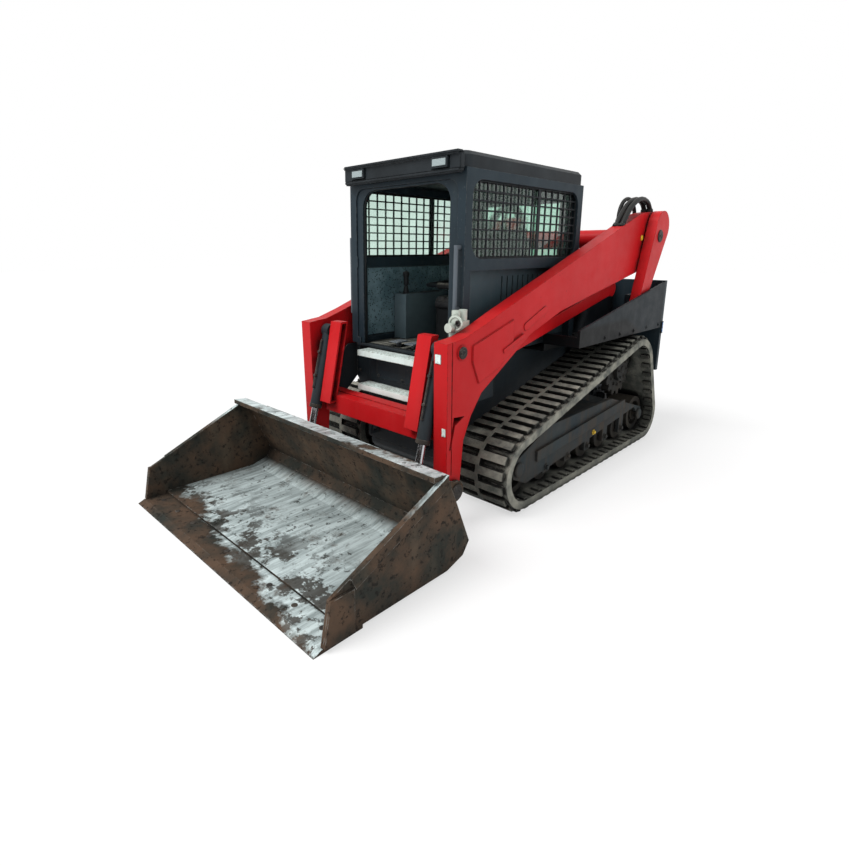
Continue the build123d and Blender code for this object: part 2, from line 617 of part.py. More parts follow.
WALL_X = (CAB_REAR + 20.0, CAB_REAR + 32.0)
WINDOW_SIDE = 160.0
WINDOW_HALF = CAB_HALF - WINDOW_SIDE
WINDOW_Z = (1400.0, 1880.0)
GLASS = 6.0
wall_half = CAB_HALF - POST_WIDE
wall = box(*WALL_X, -wall_half, wall_half, floor_top, HEADER_BOTTOM)
wall -= box(WALL_X[0] - GAP, WALL_X[1] + GAP, -WINDOW_HALF, WINDOW_HALF, *WINDOW_Z)
for side in (-1, 1):
    sill_inner = CAB_LOWER_HALF - SILL_WIDE
    sill_y = sorted((side * sill_inner, side * CAB_HALF))
    wall -= box(WALL_X[0] - GAP, WALL_X[1] + GAP, *sill_y, floor_top - GAP, floor_top + SILL_HIGH)
    rail_y = sorted((side * (CAB_LOWER_HALF - PANEL), side * CAB_HALF))
    wall -= box(WALL_X[0] - GAP, WALL_X[1] + GAP, *rail_y, *RAIL_Z)
save("cab_rear_wall", wall)
glass_x = (sum(WALL_X) - GLASS) / 2
save("cab_rear_glass", box(glass_x, glass_x + GLASS, -WINDOW_HALF, WINDOW_HALF, *WINDOW_Z))

ROOF_EDGE = 45.0
ROOF_CORNER = 60.0
ROOF_FRONT = 492.0
roof = box(CAB_REAR, ROOF_FRONT, -CAB_HALF, CAB_HALF, ROOF_BOTTOM, ROOF_TOP)
roof = fillet(roof.edges().filter_by(Axis.Z), ROOF_CORNER)
roof = chamfer(roof.faces().sort_by(Axis.Z)[-1].edges(), ROOF_EDGE / 2)
save("cab_roof", roof)

WORK_LAMP = (52.0, 118.0, 58.0)
WORK_LAMP_Y = CAB_HALF - 2.5 * WORK_LAMP[1] / 2
work_lamp = box(
    ROOF_FRONT, ROOF_FRONT + WORK_LAMP[0], WORK_LAMP_Y - WORK_LAMP[1] / 2, WORK_LAMP_Y + WORK_LAMP[1] / 2,
    ROOF_BOTTOM, ROOF_BOTTOM + WORK_LAMP[2],
)
save("work_lamps", both([work_lamp]))

HANDLE_R = 12.0
HANDLE_OFF = 34.0
Handle = namedtuple("Handle", "x y foot_x foot_y low high")
HANDLES = (
    Handle(CAB_FRONT - HANDLE_OFF, -CAB_HALF - HANDLE_OFF, CAB_FRONT - HANDLE_OFF, -CAB_HALF, 1114.0, 1629.0),
    Handle(CAB_FRONT + HANDLE_OFF, CAB_HALF - HANDLE_OFF, CAB_FRONT, CAB_HALF - HANDLE_OFF, 1208.0, 1576.0),
)
grab_handles = []
for h in HANDLES:
    bars = [rod_between((h.x, h.y, h.low), (h.x, h.y, h.high), HANDLE_R)]
    for z in (h.low + HANDLE_R, h.high - HANDLE_R):
        bars.append(rod_between((h.foot_x, h.foot_y, z), (h.x, h.y, z), HANDLE_R))
    grab_handles.append(fuse(bars))
save("grab_handles", Compound(children=grab_handles))

# Operator's seat and controls
SEAT_X = (CAB_REAR + 410.0, CAB_REAR + 810.0)
SEAT_SIDE = 202.0
SEAT_HALF = CAB_LOWER_HALF - SEAT_SIDE
SEAT_BASE_TOP = 1130.0
SEAT_TOP = 1230.0
BACK_TOP = 1700.0
BACK_THICK = 110.0
BACK_LEAN = 80.0
LAP_PIVOT = (SEAT_X[0] - 30.0, 1330.0)
LAP_PIN_R = 14.0
LAP_EYE_R = 28.0
LAP_EYE_WIDE = 18.0
SEAT_BASE_SET = 40.0
base_half = SEAT_HALF - SEAT_BASE_SET
base_x = (SEAT_X[0] + SEAT_BASE_SET, SEAT_X[1] - SEAT_BASE_SET)
save("seat_base", box(*base_x, -base_half, base_half, floor_top, SEAT_BASE_TOP))
cushion = box(SEAT_X[0] - BACK_THICK, SEAT_X[1], -SEAT_HALF, SEAT_HALF, SEAT_BASE_TOP, SEAT_TOP)
save("seat_cushion", cushion)
back_outline = (
    (SEAT_X[0] - BACK_THICK, SEAT_TOP),
    (SEAT_X[0], SEAT_TOP),
    (SEAT_X[0] - BACK_LEAN, BACK_TOP),
    (SEAT_X[0] - BACK_LEAN - BACK_THICK, BACK_TOP),
)
lap_in = SEAT_HALF + GAP
lap_out = lap_in + LAP_EYE_WIDE
lap_pins = [rod_y(LAP_PIVOT, LAP_PIN_R, SEAT_HALF, lap_out)]
seat_back = fuse([plate(back_outline, -SEAT_HALF, SEAT_HALF), *lap_pins, *[opposite(p) for p in lap_pins]])
save("seat_back", seat_back)

LAP_BAR_R = 13.0
LAP_REACH = (SEAT_X[1], 1300.0)
lap_mid = (lap_in + lap_out) / 2
lap_root = (LAP_PIVOT[0] + LAP_EYE_R / 2, lap_mid, LAP_PIVOT[1])
lap_end = (LAP_REACH[0], lap_mid, LAP_REACH[1])
lap_arm = rod_between(lap_root, lap_end, LAP_BAR_R)
lap_side = [rod_y(LAP_PIVOT, LAP_EYE_R, lap_in, lap_out), lap_arm]
lap_cross = rod_between((LAP_REACH[0], -lap_mid, LAP_REACH[1]), lap_end, LAP_BAR_R)
lap_bar = fuse([*lap_side, *[opposite(s) for s in lap_side], lap_cross])
lap_bar -= rod_y(LAP_PIVOT, LAP_PIN_R + PIN_GAP, -lap_out - LAP_BAR_R, lap_out + LAP_BAR_R)
save("lap_bar", lap_bar)

CONSOLE_X = (CAB_REAR + 520.0, CAB_REAR + 1000.0)
CONSOLE_WIDE = 115.0
CONSOLE_Y = (CAB_LOWER_HALF - SILL_WIDE - CONSOLE_WIDE, CAB_LOWER_HALF - SILL_WIDE)
CONSOLE_TOP = 1240.0
STICK_X = CONSOLE_X[1] - 60.0
STICK_R = 14.0
GRIP_R = 26.0
GRIP_HIGH = 100.0
STICK_HIGH = 60.0
console = box(*CONSOLE_X, *CONSOLE_Y, floor_top, CONSOLE_TOP)
save("control_consoles", both([console]))
stick_y = sum(CONSOLE_Y) / 2
stick = rod_between((STICK_X, stick_y, CONSOLE_TOP), (STICK_X, stick_y, CONSOLE_TOP + STICK_HIGH), STICK_R)
grip_low = (STICK_X, stick_y, CONSOLE_TOP + STICK_HIGH)
grip = rod_between(grip_low, (STICK_X, stick_y, CONSOLE_TOP + STICK_HIGH + GRIP_HIGH), GRIP_R)
save("joysticks", both([fuse([stick, grip])]))

# Boom arms: beam, knee and leg of each side
Station = namedtuple("Station", "x top bottom")
BEAM = (
    Station(REAR_X + 118.0, 1850.0, 1640.0),
    Station(REAR_X + 258.0, 1839.0, 1400.0),
    Station(REAR_X + 403.0, 1818.0, 1370.0),
    Station(-360.0, 1434.0, 1158.0),
    Station(9.0, 1310.0, 1040.0),
    Station(340.0, 1198.0, 846.0),
    Station(490.0, 1143.0, 760.0),
)
LEG_TOP_FRONT = (800.0, 1075.0)
LEG_TOP_MID = (656.0, 1091.0)
LEG_LOW_HALF = 57.0
LEG_LOW_RISE = 15.0
LEG_LOW_FRONT = (BUCKET_PIVOT[0] + LEG_LOW_HALF, BUCKET_PIVOT[1] + LEG_LOW_RISE)
LEG_LOW_REAR = (BUCKET_PIVOT[0] - LEG_LOW_HALF, BUCKET_PIVOT[1] + LEG_LOW_RISE)
LEG_MID_REAR = (645.0, 510.0)
LEG_KNEE_REAR = (584.0, 640.0)
BOOM_PIN_R = 35.0
BUCKET_PIN_R = 30.0
BUCKET_EYE_R = 62.0
beam_outline = [(s.x, s.top) for s in BEAM]
beam_outline += [LEG_TOP_MID, LEG_TOP_FRONT, LEG_LOW_FRONT, LEG_LOW_REAR, LEG_MID_REAR, LEG_KNEE_REAR]
beam_outline += [(s.x, s.bottom) for s in reversed(BEAM)]
tilt_pin_in = ARM_IN - TILT_SPACE + GAP
arm = fuse([
    plate(beam_outline, ARM_IN, ARM_OUT),
    rod_y(BUCKET_PIVOT, BUCKET_EYE_R, ARM_IN, ARM_OUT),
    rod_y(TILT_BOOM_PIVOT, CYL_PIN_R, tilt_pin_in, ARM_IN),
])
KNEE_PLATE = (
    (205.0, 1150.0),
    (589.0, 1040.0),
    (589.0, 952.0),
    (526.0, 822.0),
    (340.0, 884.0),
    (200.0, 968.0),
)
KNEE_PLATE_THICK = 8.0
OVAL_PAD = ((-150.0, 1180.0), (60.0, 1095.0))
OVAL_PAD_R = 24.0
OVAL_PAD_THICK = 5.0
PIN_BOSS_R = 42.0
PIN_BOSS_THICK = 6.0
SEAM_SET = 38.0
SEAM_HALF = 3.0
SEAM_DEEP = 5.0
SEAM_LOW = 330.0
LEG_HOLE = ((640.0, 652.0), (733.0, 662.0), (766.0, 480.0), (755.0, 480.0), (722.0, 614.0))
ARM_RIB = ((94.0, 1047.0), (304.0, 974.0))
ARM_RIB_HALF = 11.0
ARM_RIB_THICK = 14.0
arm = fuse([
    arm,
    plate(KNEE_PLATE, ARM_OUT, ARM_OUT + KNEE_PLATE_THICK),
    bar(*OVAL_PAD, OVAL_PAD_R, OVAL_PAD_R, ARM_OUT, ARM_OUT + OVAL_PAD_THICK),
    *[rod_y(end, OVAL_PAD_R, ARM_OUT, ARM_OUT + OVAL_PAD_THICK) for end in OVAL_PAD],
    bar(*ARM_RIB, ARM_RIB_HALF, ARM_RIB_HALF, ARM_OUT, ARM_OUT + ARM_RIB_THICK),
    rod_y(TILT_BOOM_PIVOT, PIN_BOSS_R, ARM_OUT, ARM_OUT + PIN_BOSS_THICK),
])
seam_top = (LEG_TOP_FRONT[0] - SEAM_SET, LEG_TOP_FRONT[1] + SEAM_SET)
seam_low = (LEG_LOW_FRONT[0] - SEAM_SET, SEAM_LOW)
arm -= bar(seam_top, seam_low, SEAM_HALF, SEAM_HALF, ARM_OUT - SEAM_DEEP, ARM_OUT + GAP)
arm -= plate(LEG_HOLE, ARM_IN - GAP, ARM_OUT + GAP)
arm -= rod_y(BOOM_PIVOT, BOOM_PIN_R + PIN_GAP, ARM_IN - GAP, ARM_OUT + GAP)
arm -= rod_y(BUCKET_PIVOT, BUCKET_PIN_R + PIN_GAP, ARM_IN - GAP, ARM_OUT + GAP)
save("boom_arms", both([arm]))

# Rear cross tube of the boom with the ears of the lift cylinders
CROSS_TUBE = (REAR_X + 608.0, 1630.0)
CROSS_TUBE_R = 70.0
EAR_THICK = 20.0
EAR_HALF = 55.0
LIFT_ROD_EYE_HALF = 30.0
tube_parts = [rod_y(CROSS_TUBE, CROSS_TUBE_R, -ARM_IN, ARM_IN)]
for side in (-1, 1):
    for sign in (-1, 1):
        near = LIFT_CYL_Y + sign * (LIFT_ROD_EYE_HALF + GAP)
        far = near + sign * EAR_THICK
        y0 = min(side * near, side * far)
        y1 = max(side * near, side * far)
        tube_parts.append(bar(LIFT_BOOM_PIVOT, CROSS_TUBE, EAR_HALF, EAR_HALF, y0, y1))
        tube_parts.append(rod_y(LIFT_BOOM_PIVOT, EAR_HALF, y0, y1))
save("boom_cross_tube", fuse(tube_parts))

# Bent hydraulic pipes that arch over the boom's rear, clamped to the inside of each arm
PIPE_R = 15.0
PIPE_ARCH_R = 150.0
PIPE_FRONT_X = REAR_X + 512.0
PIPE_SPRING_Z = 1790.0
PIPE_FOOT_Z = 1715.0
PIPE_Y = ARM_IN - 2 * PIPE_R
CLAMP_HALF = 24.0
CLAMP_HIGH = 40.0
pipe_rear_x = PIPE_FRONT_X - 2 * PIPE_ARCH_R
arch_middle_x = PIPE_FRONT_X - PIPE_ARCH_R
pipe_line = Wire([
    Edge.make_line((PIPE_FRONT_X, PIPE_Y, PIPE_FOOT_Z), (PIPE_FRONT_X, PIPE_Y, PIPE_SPRING_Z)),
    Edge.make_three_point_arc(
        (PIPE_FRONT_X, PIPE_Y, PIPE_SPRING_Z),
        (arch_middle_x, PIPE_Y, PIPE_SPRING_Z + PIPE_ARCH_R),
        (pipe_rear_x, PIPE_Y, PIPE_SPRING_Z),
    ),
    Edge.make_line((pipe_rear_x, PIPE_Y, PIPE_SPRING_Z), (pipe_rear_x, PIPE_Y, PIPE_FOOT_Z)),
])
pipe_end = Plane(origin=(PIPE_FRONT_X, PIPE_Y, PIPE_FOOT_Z), z_dir=(0, 0, 1)) * Circle(PIPE_R)
pipe_parts = [sweep(pipe_end, path=pipe_line)]
for clamp_x in (PIPE_FRONT_X, pipe_rear_x):
    clamp_y = (PIPE_Y - CLAMP_HALF, ARM_IN)
    clamp_z = (PIPE_FOOT_Z, PIPE_FOOT_Z + CLAMP_HIGH)
    pipe_parts.append(box(clamp_x - CLAMP_HALF, clamp_x + CLAMP_HALF, *clamp_y, *clamp_z))
save("boom_pipes", both([fuse(pipe_parts)]))

# Front cross-member with the guards of the tilt cylinders, channels that open inwards
MEMBER_X = (605.0, 680.0)
MEMBER_Z = (470.0, 605.0)
APRON_FRONT = 760.0
GUARD_WIDE = 106.0
GUARD_OUT = tilt_pin_in
GUARD_IN = GUARD_OUT - GUARD_WIDE
GUARD_TOP = (700.0, 1085.0)
GUARD_LOW = (812.0, 550.0)
GUARD_DEEP = 60.0
member_parts = [
    box(*MEMBER_X, -ARM_IN, ARM_IN, *MEMBER_Z),
    box(MEMBER_X[1], APRON_FRONT, -GUARD_OUT, GUARD_OUT, MEMBER_Z[0] + 10, MEMBER_Z[1] - 5),
]
guard_outline = (
    GUARD_TOP,
    GUARD_LOW,
    (GUARD_LOW[0] - GUARD_DEEP, GUARD_LOW[1]),
    (GUARD_TOP[0] - GUARD_DEEP, GUARD_TOP[1]),
)
GUARD_WALL = 12.0
guard = plate(guard_outline, GUARD_IN, GUARD_OUT)
guard_hollow = (
    (GUARD_TOP[0] - GUARD_WALL, GUARD_TOP[1] - GUARD_WALL),
    (GUARD_LOW[0] - GUARD_WALL, GUARD_LOW[1] + GUARD_WALL),
    (GUARD_LOW[0] - GUARD_DEEP + GUARD_WALL, GUARD_LOW[1] + GUARD_WALL),
    (GUARD_TOP[0] - GUARD_DEEP + GUARD_WALL, GUARD_TOP[1] - GUARD_WALL),
)
guard -= plate(guard_hollow, GUARD_IN - GAP, GUARD_OUT - GUARD_WALL)
member_parts += [guard, opposite(guard)]
save("boom_front_frame", fuse(member_parts))

COUPLER_X = (500.0, 610.0)
COUPLER_Z = (1060.0, 1165.0)
COUPLER_IN = ARM_IN - 58.0
CAP_R = 24.0
CAP_HIGH = 60.0
FACE_COUPLER_R = 27.0
FACE_COUPLER_LONG = 42.0
coupler_y = (COUPLER_IN + ARM_IN) / 2
coupler_parts = [box(*COUPLER_X, COUPLER_IN, ARM_IN, *COUPLER_Z)]
for cap_x in (COUPLER_X[0] + CAP_R, COUPLER_X[1] - CAP_R):
    cap_foot = (cap_x, coupler_y, COUPLER_Z[1])
    coupler_parts.append(rod_between(cap_foot, (cap_x, coupler_y, COUPLER_Z[1] + CAP_HIGH), CAP_R))
face_z = COUPLER_Z[1] - FACE_COUPLER_R - GAP
face_root = (COUPLER_X[1], coupler_y, face_z)
face_end = (COUPLER_X[1] + FACE_COUPLER_LONG, coupler_y, face_z)
coupler_parts.append(rod_between(face_root, face_end, FACE_COUPLER_R))
save("coupler_block", fuse(coupler_parts))

# Rear links, outside the boom, carrying the boom's pivot pins
LINK_HEAD = (REAR_X + 153.0, 1725.0)
LINK_HEAD_R = 125.0
LINK_NECK_R = 62.0
link = fuse([
    rod_y(LINK_HEAD, LINK_HEAD_R, REAR_LINK_IN, REAR_LINK_OUT),
    bar(REAR_LINK_PIVOT, LINK_HEAD, LINK_NECK_R, LINK_HEAD_R, REAR_LINK_IN, REAR_LINK_OUT),
    rod_y(REAR_LINK_PIVOT, LINK_NECK_R, REAR_LINK_IN, REAR_LINK_OUT),
    rod_y(BOOM_PIVOT, BOOM_PIN_R, ARM_IN - GAP, REAR_LINK_IN),
])
link -= rod_y(REAR_LINK_PIVOT, LINK_PIN_R + PIN_GAP, REAR_LINK_IN - GAP, REAR_LINK_OUT + GAP)
save("rear_links", both([link]))

# Control links from the front pylons to the boom's middle
CONTROL_HALF = 42.0
CONTROL_Y = (CONTROL_LINK_IN, CONTROL_LINK_OUT)
control = fuse([
    rod_y(CONTROL_FRAME_PIVOT, LINK_EYE_R, CONTROL_LINK_IN, CONTROL_LINK_OUT),
    bar(CONTROL_FRAME_PIVOT, CONTROL_BOOM_PIVOT, CONTROL_HALF, CONTROL_HALF, *CONTROL_Y),
    rod_y(CONTROL_BOOM_PIVOT, LINK_EYE_R, CONTROL_LINK_IN, CONTROL_LINK_OUT),
])
control -= rod_y(CONTROL_FRAME_PIVOT, LINK_PIN_R + PIN_GAP, CONTROL_LINK_IN - GAP, CONTROL_LINK_OUT + GAP)
save("control_links", both([control]))

# Hydraulic cylinders: each barrel turns on its pin, each rod slides in its barrel
Ram = namedtuple("Ram", "name y base tip barrel_r bore_r rod_r eye_r eye_half tip_half pocket reserve")
crank = math.radians(TILT_CRANK_DEG)
tilt_tip = (BUCKET_PIVOT[0] + TILT_CRANK * math.sin(crank), BUCKET_PIVOT[1] + TILT_CRANK * math.cos(crank))
RAMS = (
    Ram("lift", LIFT_CYL_Y, LIFT_FRAME_PIVOT, LIFT_BOOM_PIVOT,
        42.0, 33.0, 26.0, 45.0, LIFT_EYE_HALF, 30.0, 70.0, 500.0),
    Ram("tilt", TILT_CYL_Y, TILT_BOOM_PIVOT, tilt_tip,
        40.0, 31.0, 23.0, 44.0, 33.0, 25.0, 160.0, 300.0),
)
GLAND = 22.0
GLAND_GAP = 0.5
for ram in RAMS:
    length = math.dist(ram.base, ram.tip)
    barrel_end = length - ram.pocket

    def point(distance):
        x, z = along(ram.base, ram.tip, distance)
        return (x, ram.y, z)

    barrel = rod_between(point(0), point(barrel_end), ram.barrel_r)
    barrel = fuse([barrel, rod_y(ram.base, ram.eye_r, ram.y - ram.eye_half, ram.y + ram.eye_half)])
    barrel -= rod_between(point(ram.eye_r + GLAND), point(barrel_end - GLAND), ram.bore_r)
    barrel -= rod_between(point(barrel_end - 2 * GLAND), point(barrel_end + GLAND), ram.rod_r + GLAND_GAP)
    barrel -= rod_y(ram.base, CYL_PIN_R + PIN_GAP, ram.y - 2 * ram.eye_r, ram.y + 2 * ram.eye_r)
    save(ram.name + "_barrels", both([barrel]))
    rod = rod_between(point(barrel_end - ram.reserve), point(length), ram.rod_r)
    eye = rod_y(ram.tip, ram.eye_r, ram.y - ram.tip_half, ram.y + ram.tip_half)
    save(ram.name + "_rods", both([fuse([rod, eye])]))

# Hitch plate behind the bucket, with the ears of the bucket pins and the tilt rods
BACK_LOW = (922.0, 118.0)
BACK_HIGH = (1106.0, 532.0)
HITCH_THICK = 25.0
HITCH_SPAN = (50.0, 425.0)
HITCH_SIDE = 50.0
HITCH_HALF = ARM_OUT + HITCH_SIDE
EAR_SPAN = (60.0, 330.0)
PIN_EAR_THICK = 18.0
INNER_EAR = (ARM_IN - 7.0 - PIN_EAR_THICK, ARM_IN - 7.0)
OUTER_EAR = (ARM_OUT + 7.0, ARM_OUT + 7.0 + PIN_EAR_THICK)
TILT_EAR = (TILT_CYL_Y - 25.0 - 5.0 - PIN_EAR_THICK, TILT_CYL_Y - 25.0 - 5.0)
hitch_face = [along(BACK_LOW, BACK_HIGH, d) for d in HITCH_SPAN]
hitch_back = [along(BACK_LOW, BACK_HIGH, d, HITCH_THICK) for d in reversed(HITCH_SPAN)]
hitch_parts = [plate(hitch_face + hitch_back, -HITCH_HALF, HITCH_HALF)]
ear_root = [along(BACK_LOW, BACK_HIGH, d, HITCH_THICK / 2) for d in EAR_SPAN]
Ear = namedtuple("Ear", "span tip eye")
EARS = (
    Ear(INNER_EAR, BUCKET_PIVOT, BUCKET_EYE_R),
    Ear(OUTER_EAR, BUCKET_PIVOT, BUCKET_EYE_R),
    Ear(INNER_EAR, tilt_tip, 48.0),
    Ear(TILT_EAR, tilt_tip, 48.0),
)
EAR_NECK = 0.9
ear_solids = []
for ear in EARS:
    x, z = ear.tip
    ear_end = [(x, z + EAR_NECK * ear.eye), (x, z - EAR_NECK * ear.eye)]
    ear_solids.append(plate(ear_root + ear_end, *ear.span))
    ear_solids.append(rod_y(ear.tip, ear.eye, *ear.span))
ear_solids.append(rod_y(BUCKET_PIVOT, BUCKET_PIN_R, INNER_EAR[0], OUTER_EAR[1]))
hitch = fuse([*hitch_parts, *ear_solids, *[opposite(s) for s in ear_solids]])
save("hitch_plate", hitch)

# Bucket: folded shell, side plates, top lip, cutting edge and side cutters
SHELL_THICK = 14.0
FLOOR_Z = 18.0
FLOOR_FRONT = 1720.0
HEEL_X = 1090.0
HEEL_KNEE = (968.0, 54.0)
SIDE_THICK = 16.0
CUTTER_THICK = 12.0
SIDE_OUT = BUCKET_HALF - CUTTER_THICK
SIDE_IN = SIDE_OUT - SIDE_THICK
LIP_DEEP = 92.0
LIP_RISE = 10.0
SIDE_FRONT_LOW = (1850.0, FLOOR_Z)
SIDE_FRONT_TOP = (1812.0, 216.0)
RIM_DEEP = 58.0
EDGE_BACK = 1640.0
shell_line = ((FLOOR_FRONT, FLOOR_Z), (HEEL_X, FLOOR_Z), HEEL_KNEE, BACK_LOW, BACK_HIGH)
shell = sheet_line(shell_line[::-1], SHELL_THICK, -SIDE_OUT, SIDE_OUT)
lip_front = (BACK_HIGH[0] + LIP_DEEP, BACK_HIGH[1] + LIP_RISE)
lip_outline = (
    BACK_HIGH,
    lip_front,
    (lip_front[0], lip_front[1] - 2 * SHELL_THICK),
    (BACK_HIGH[0], BACK_HIGH[1] - SHELL_THICK),
)
lip = plate(lip_outline, -SIDE_OUT, SIDE_OUT)
side_outline = (SIDE_FRONT_LOW, SIDE_FRONT_TOP, BACK_HIGH, BACK_LOW, HEEL_KNEE, (HEEL_X, FLOOR_Z))
side_plate = plate(side_outline, SIDE_IN, SIDE_OUT)
rim_outline = (
    along(SIDE_FRONT_TOP, BACK_HIGH, RIM_DEEP * 2),
    BACK_HIGH,
    along(SIDE_FRONT_TOP, BACK_HIGH, math.dist(SIDE_FRONT_TOP, BACK_HIGH) - RIM_DEEP / 2, RIM_DEEP),
    along(SIDE_FRONT_TOP, BACK_HIGH, RIM_DEEP * 2, RIM_DEEP),
)
rim = plate(rim_outline, SIDE_OUT, BUCKET_HALF)
STRIP_COUNT = 4
STRIP_WIDE = 70.0
STRIP_THICK = 10.0
STRIP_SPREAD = 1300.0
STRIP_X = (HEEL_X + 40.0, EDGE_BACK)
strips = []
for i in range(STRIP_COUNT):
    strip_y = STRIP_SPREAD * (i / (STRIP_COUNT - 1) - 0.5)
    strips.append(
        box(*STRIP_X, strip_y - STRIP_WIDE / 2, strip_y + STRIP_WIDE / 2, FLOOR_Z - STRIP_THICK, FLOOR_Z)
    )
bucket = fuse([shell, lip, side_plate, opposite(side_plate), rim, opposite(rim), *strips])
save("bucket_shell", bucket)

EDGE_BEVEL = 40.0
edge_outline = ((EDGE_BACK, 0), (FRONT_X, 0), (FRONT_X - EDGE_BEVEL, FLOOR_Z), (EDGE_BACK, FLOOR_Z))
save("cutting_edge", plate(edge_outline, -SIDE_OUT, SIDE_OUT))

CUTTER_BACK = 1690.0
cutter_outline = ((CUTTER_BACK, FLOOR_Z), SIDE_FRONT_LOW, SIDE_FRONT_TOP, (CUTTER_BACK, SIDE_FRONT_TOP[1]))
save("side_cutters", both([plate(cutter_outline, SIDE_OUT, BUCKET_HALF)]))
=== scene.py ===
import math

import bmesh
import bpy
from mathutils import Matrix, Vector


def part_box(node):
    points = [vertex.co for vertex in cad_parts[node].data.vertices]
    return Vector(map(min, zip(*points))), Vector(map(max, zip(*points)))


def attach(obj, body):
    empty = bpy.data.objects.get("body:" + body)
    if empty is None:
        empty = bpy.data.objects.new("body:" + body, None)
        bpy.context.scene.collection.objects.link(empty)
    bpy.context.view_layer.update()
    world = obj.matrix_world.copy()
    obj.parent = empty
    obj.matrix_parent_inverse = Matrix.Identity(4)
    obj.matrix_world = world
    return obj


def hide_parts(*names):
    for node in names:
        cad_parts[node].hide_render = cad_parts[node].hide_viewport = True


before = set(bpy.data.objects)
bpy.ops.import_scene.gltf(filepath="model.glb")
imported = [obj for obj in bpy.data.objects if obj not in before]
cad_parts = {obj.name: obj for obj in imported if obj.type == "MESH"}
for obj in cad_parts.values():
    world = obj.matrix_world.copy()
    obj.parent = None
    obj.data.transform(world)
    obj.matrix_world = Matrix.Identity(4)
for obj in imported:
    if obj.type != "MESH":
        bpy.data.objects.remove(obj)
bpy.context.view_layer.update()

# Camera: the front left corner from standing height through a wide lens.
# The lens and the shift follow the photograph's frame.
IMAGE_WIDE, IMAGE_HIGH = 849, 866
SENSOR = 36.0
FOCAL_PIXELS = 536.3
MIDDLE_PIXEL_X, MIDDLE_PIXEL_Y = 391.9, 377.0
EYE = (2.9186, 2.4051, 1.5575)
YAW = math.radians(225.67)
PITCH = math.radians(-13.46)

camera_data = bpy.data.cameras.new("camera")
camera_data.lens = FOCAL_PIXELS * SENSOR / IMAGE_HIGH
camera_data.sensor_width = SENSOR
camera_data.shift_x = (IMAGE_WIDE / 2 - MIDDLE_PIXEL_X) / IMAGE_HIGH
camera_data.shift_y = (MIDDLE_PIXEL_Y - IMAGE_HIGH / 2) / IMAGE_HIGH
camera = bpy.data.objects.new("camera", camera_data)
gaze = Vector((math.cos(YAW) * math.cos(PITCH), math.sin(YAW) * math.cos(PITCH), math.sin(PITCH)))
camera.location = EYE
camera.rotation_mode = "QUATERNION"
camera.rotation_quaternion = gaze.to_track_quat("-Z", "Y")
bpy.context.scene.collection.objects.link(camera)
bpy.context.scene.camera = camera
bpy.context.scene.view_settings.view_transform = "Standard"


# Studio: a pale floor that keeps a soft shadow, a white surround and two broad lamps.
# The surround shows white to the camera and in reflections, and lights more gently.
SURROUND_LIGHT = 0.5
KEY_LIGHT, KEY_SOFT, KEY_TURN = 2.5, math.radians(30), (math.radians(38), 0.0, math.radians(68))
FILL_LIGHT, FILL_SOFT, FILL_TURN = 0.6, math.radians(80), (math.radians(55), 0.0, math.radians(170))
WHITE = (1.0, 1.0, 1.0, 1.0)
FLOOR_GREY = (0.92, 0.92, 0.92, 1.0)
FLOOR_REACH = 40.0
FLOOR_WHITE = 0.6


def put(tree, kind, inputs=None, **settings):
    """Adds a node, with its settings, and its inputs as numbers, colours or links."""
    node = tree.nodes.new("ShaderNode" + kind)
    for key, value in settings.items():
        setattr(node, key, value)
    for key, value in (inputs or {}).items():
        if isinstance(value, bpy.types.NodeSocket):
            tree.links.new(value, node.inputs[key])
        else:
            node.inputs[key].default_value = value
    return node


def total(tree, first, *others):
    for other in others:
        first = put(tree, "Math", {0: first, 1: other}, operation="ADD", use_clamp=True).outputs[0]
    return first


def times(tree, first, second):
    return put(tree, "Math", {0: first, 1: second}, operation="MULTIPLY").outputs[0]


def new_material(name):
    material = bpy.data.materials.new(name)
    material.use_nodes = True
    material.node_tree.nodes.clear()
    return material, material.node_tree


def direct_sight(tree):
    path = put(tree, "LightPath").outputs
    return total(tree, path["Is Camera Ray"], path["Is Glossy Ray"], path["Is Transmission Ray"])


world = bpy.data.worlds.new("surround")
bpy.context.scene.world = world
world.use_nodes = True
sky = world.node_tree
sky.nodes.clear()
ambient = put(sky, "Background", {"Color": WHITE, "Strength": SURROUND_LIGHT})
white = put(sky, "Background", {"Color": WHITE, "Strength": 1.0})
seen = put(sky, "MixShader", {0: direct_sight(sky), 1: ambient.outputs[0], 2: white.outputs[0]})
put(sky, "OutputWorld", {"Surface": seen.outputs[0]})

for lamp_name, strength, softness, turn in (
    ("key_lamp", KEY_LIGHT, KEY_SOFT, KEY_TURN),
    ("fill_lamp", FILL_LIGHT, FILL_SOFT, FILL_TURN),
):
    lamp_data = bpy.data.lights.new(lamp_name, "SUN")
    lamp_data.energy = strength
    lamp_data.angle = softness
    lamp = bpy.data.objects.new(lamp_name, lamp_data)
    lamp.rotation_euler = turn
    bpy.context.scene.collection.objects.link(lamp)

floor_material, tree = new_material("pale_floor")
lit = put(tree, "BsdfDiffuse", {"Color": FLOOR_GREY})
pale = put(tree, "Emission", {"Color": WHITE, "Strength": 1.0})
share = times(tree, direct_sight(tree), FLOOR_WHITE)
floor_mix = put(tree, "MixShader", {0: share, 1: lit.outputs[0], 2: pale.outputs[0]})
put(tree, "OutputMaterial", {"Surface": floor_mix.outputs[0]})
floor_mesh = bpy.data.meshes.new("studio_floor")
floor_corners = [(x * FLOOR_REACH, y * FLOOR_REACH, 0.0) for x, y in ((-1, -1), (1, -1), (1, 1), (-1, 1))]
floor_mesh.from_pydata(floor_corners, [], [(0, 1, 2, 3)])
floor_mesh.materials.append(floor_material)
studio_floor = bpy.data.objects.new("studio_floor", floor_mesh)
bpy.context.scene.collection.objects.link(studio_floor)


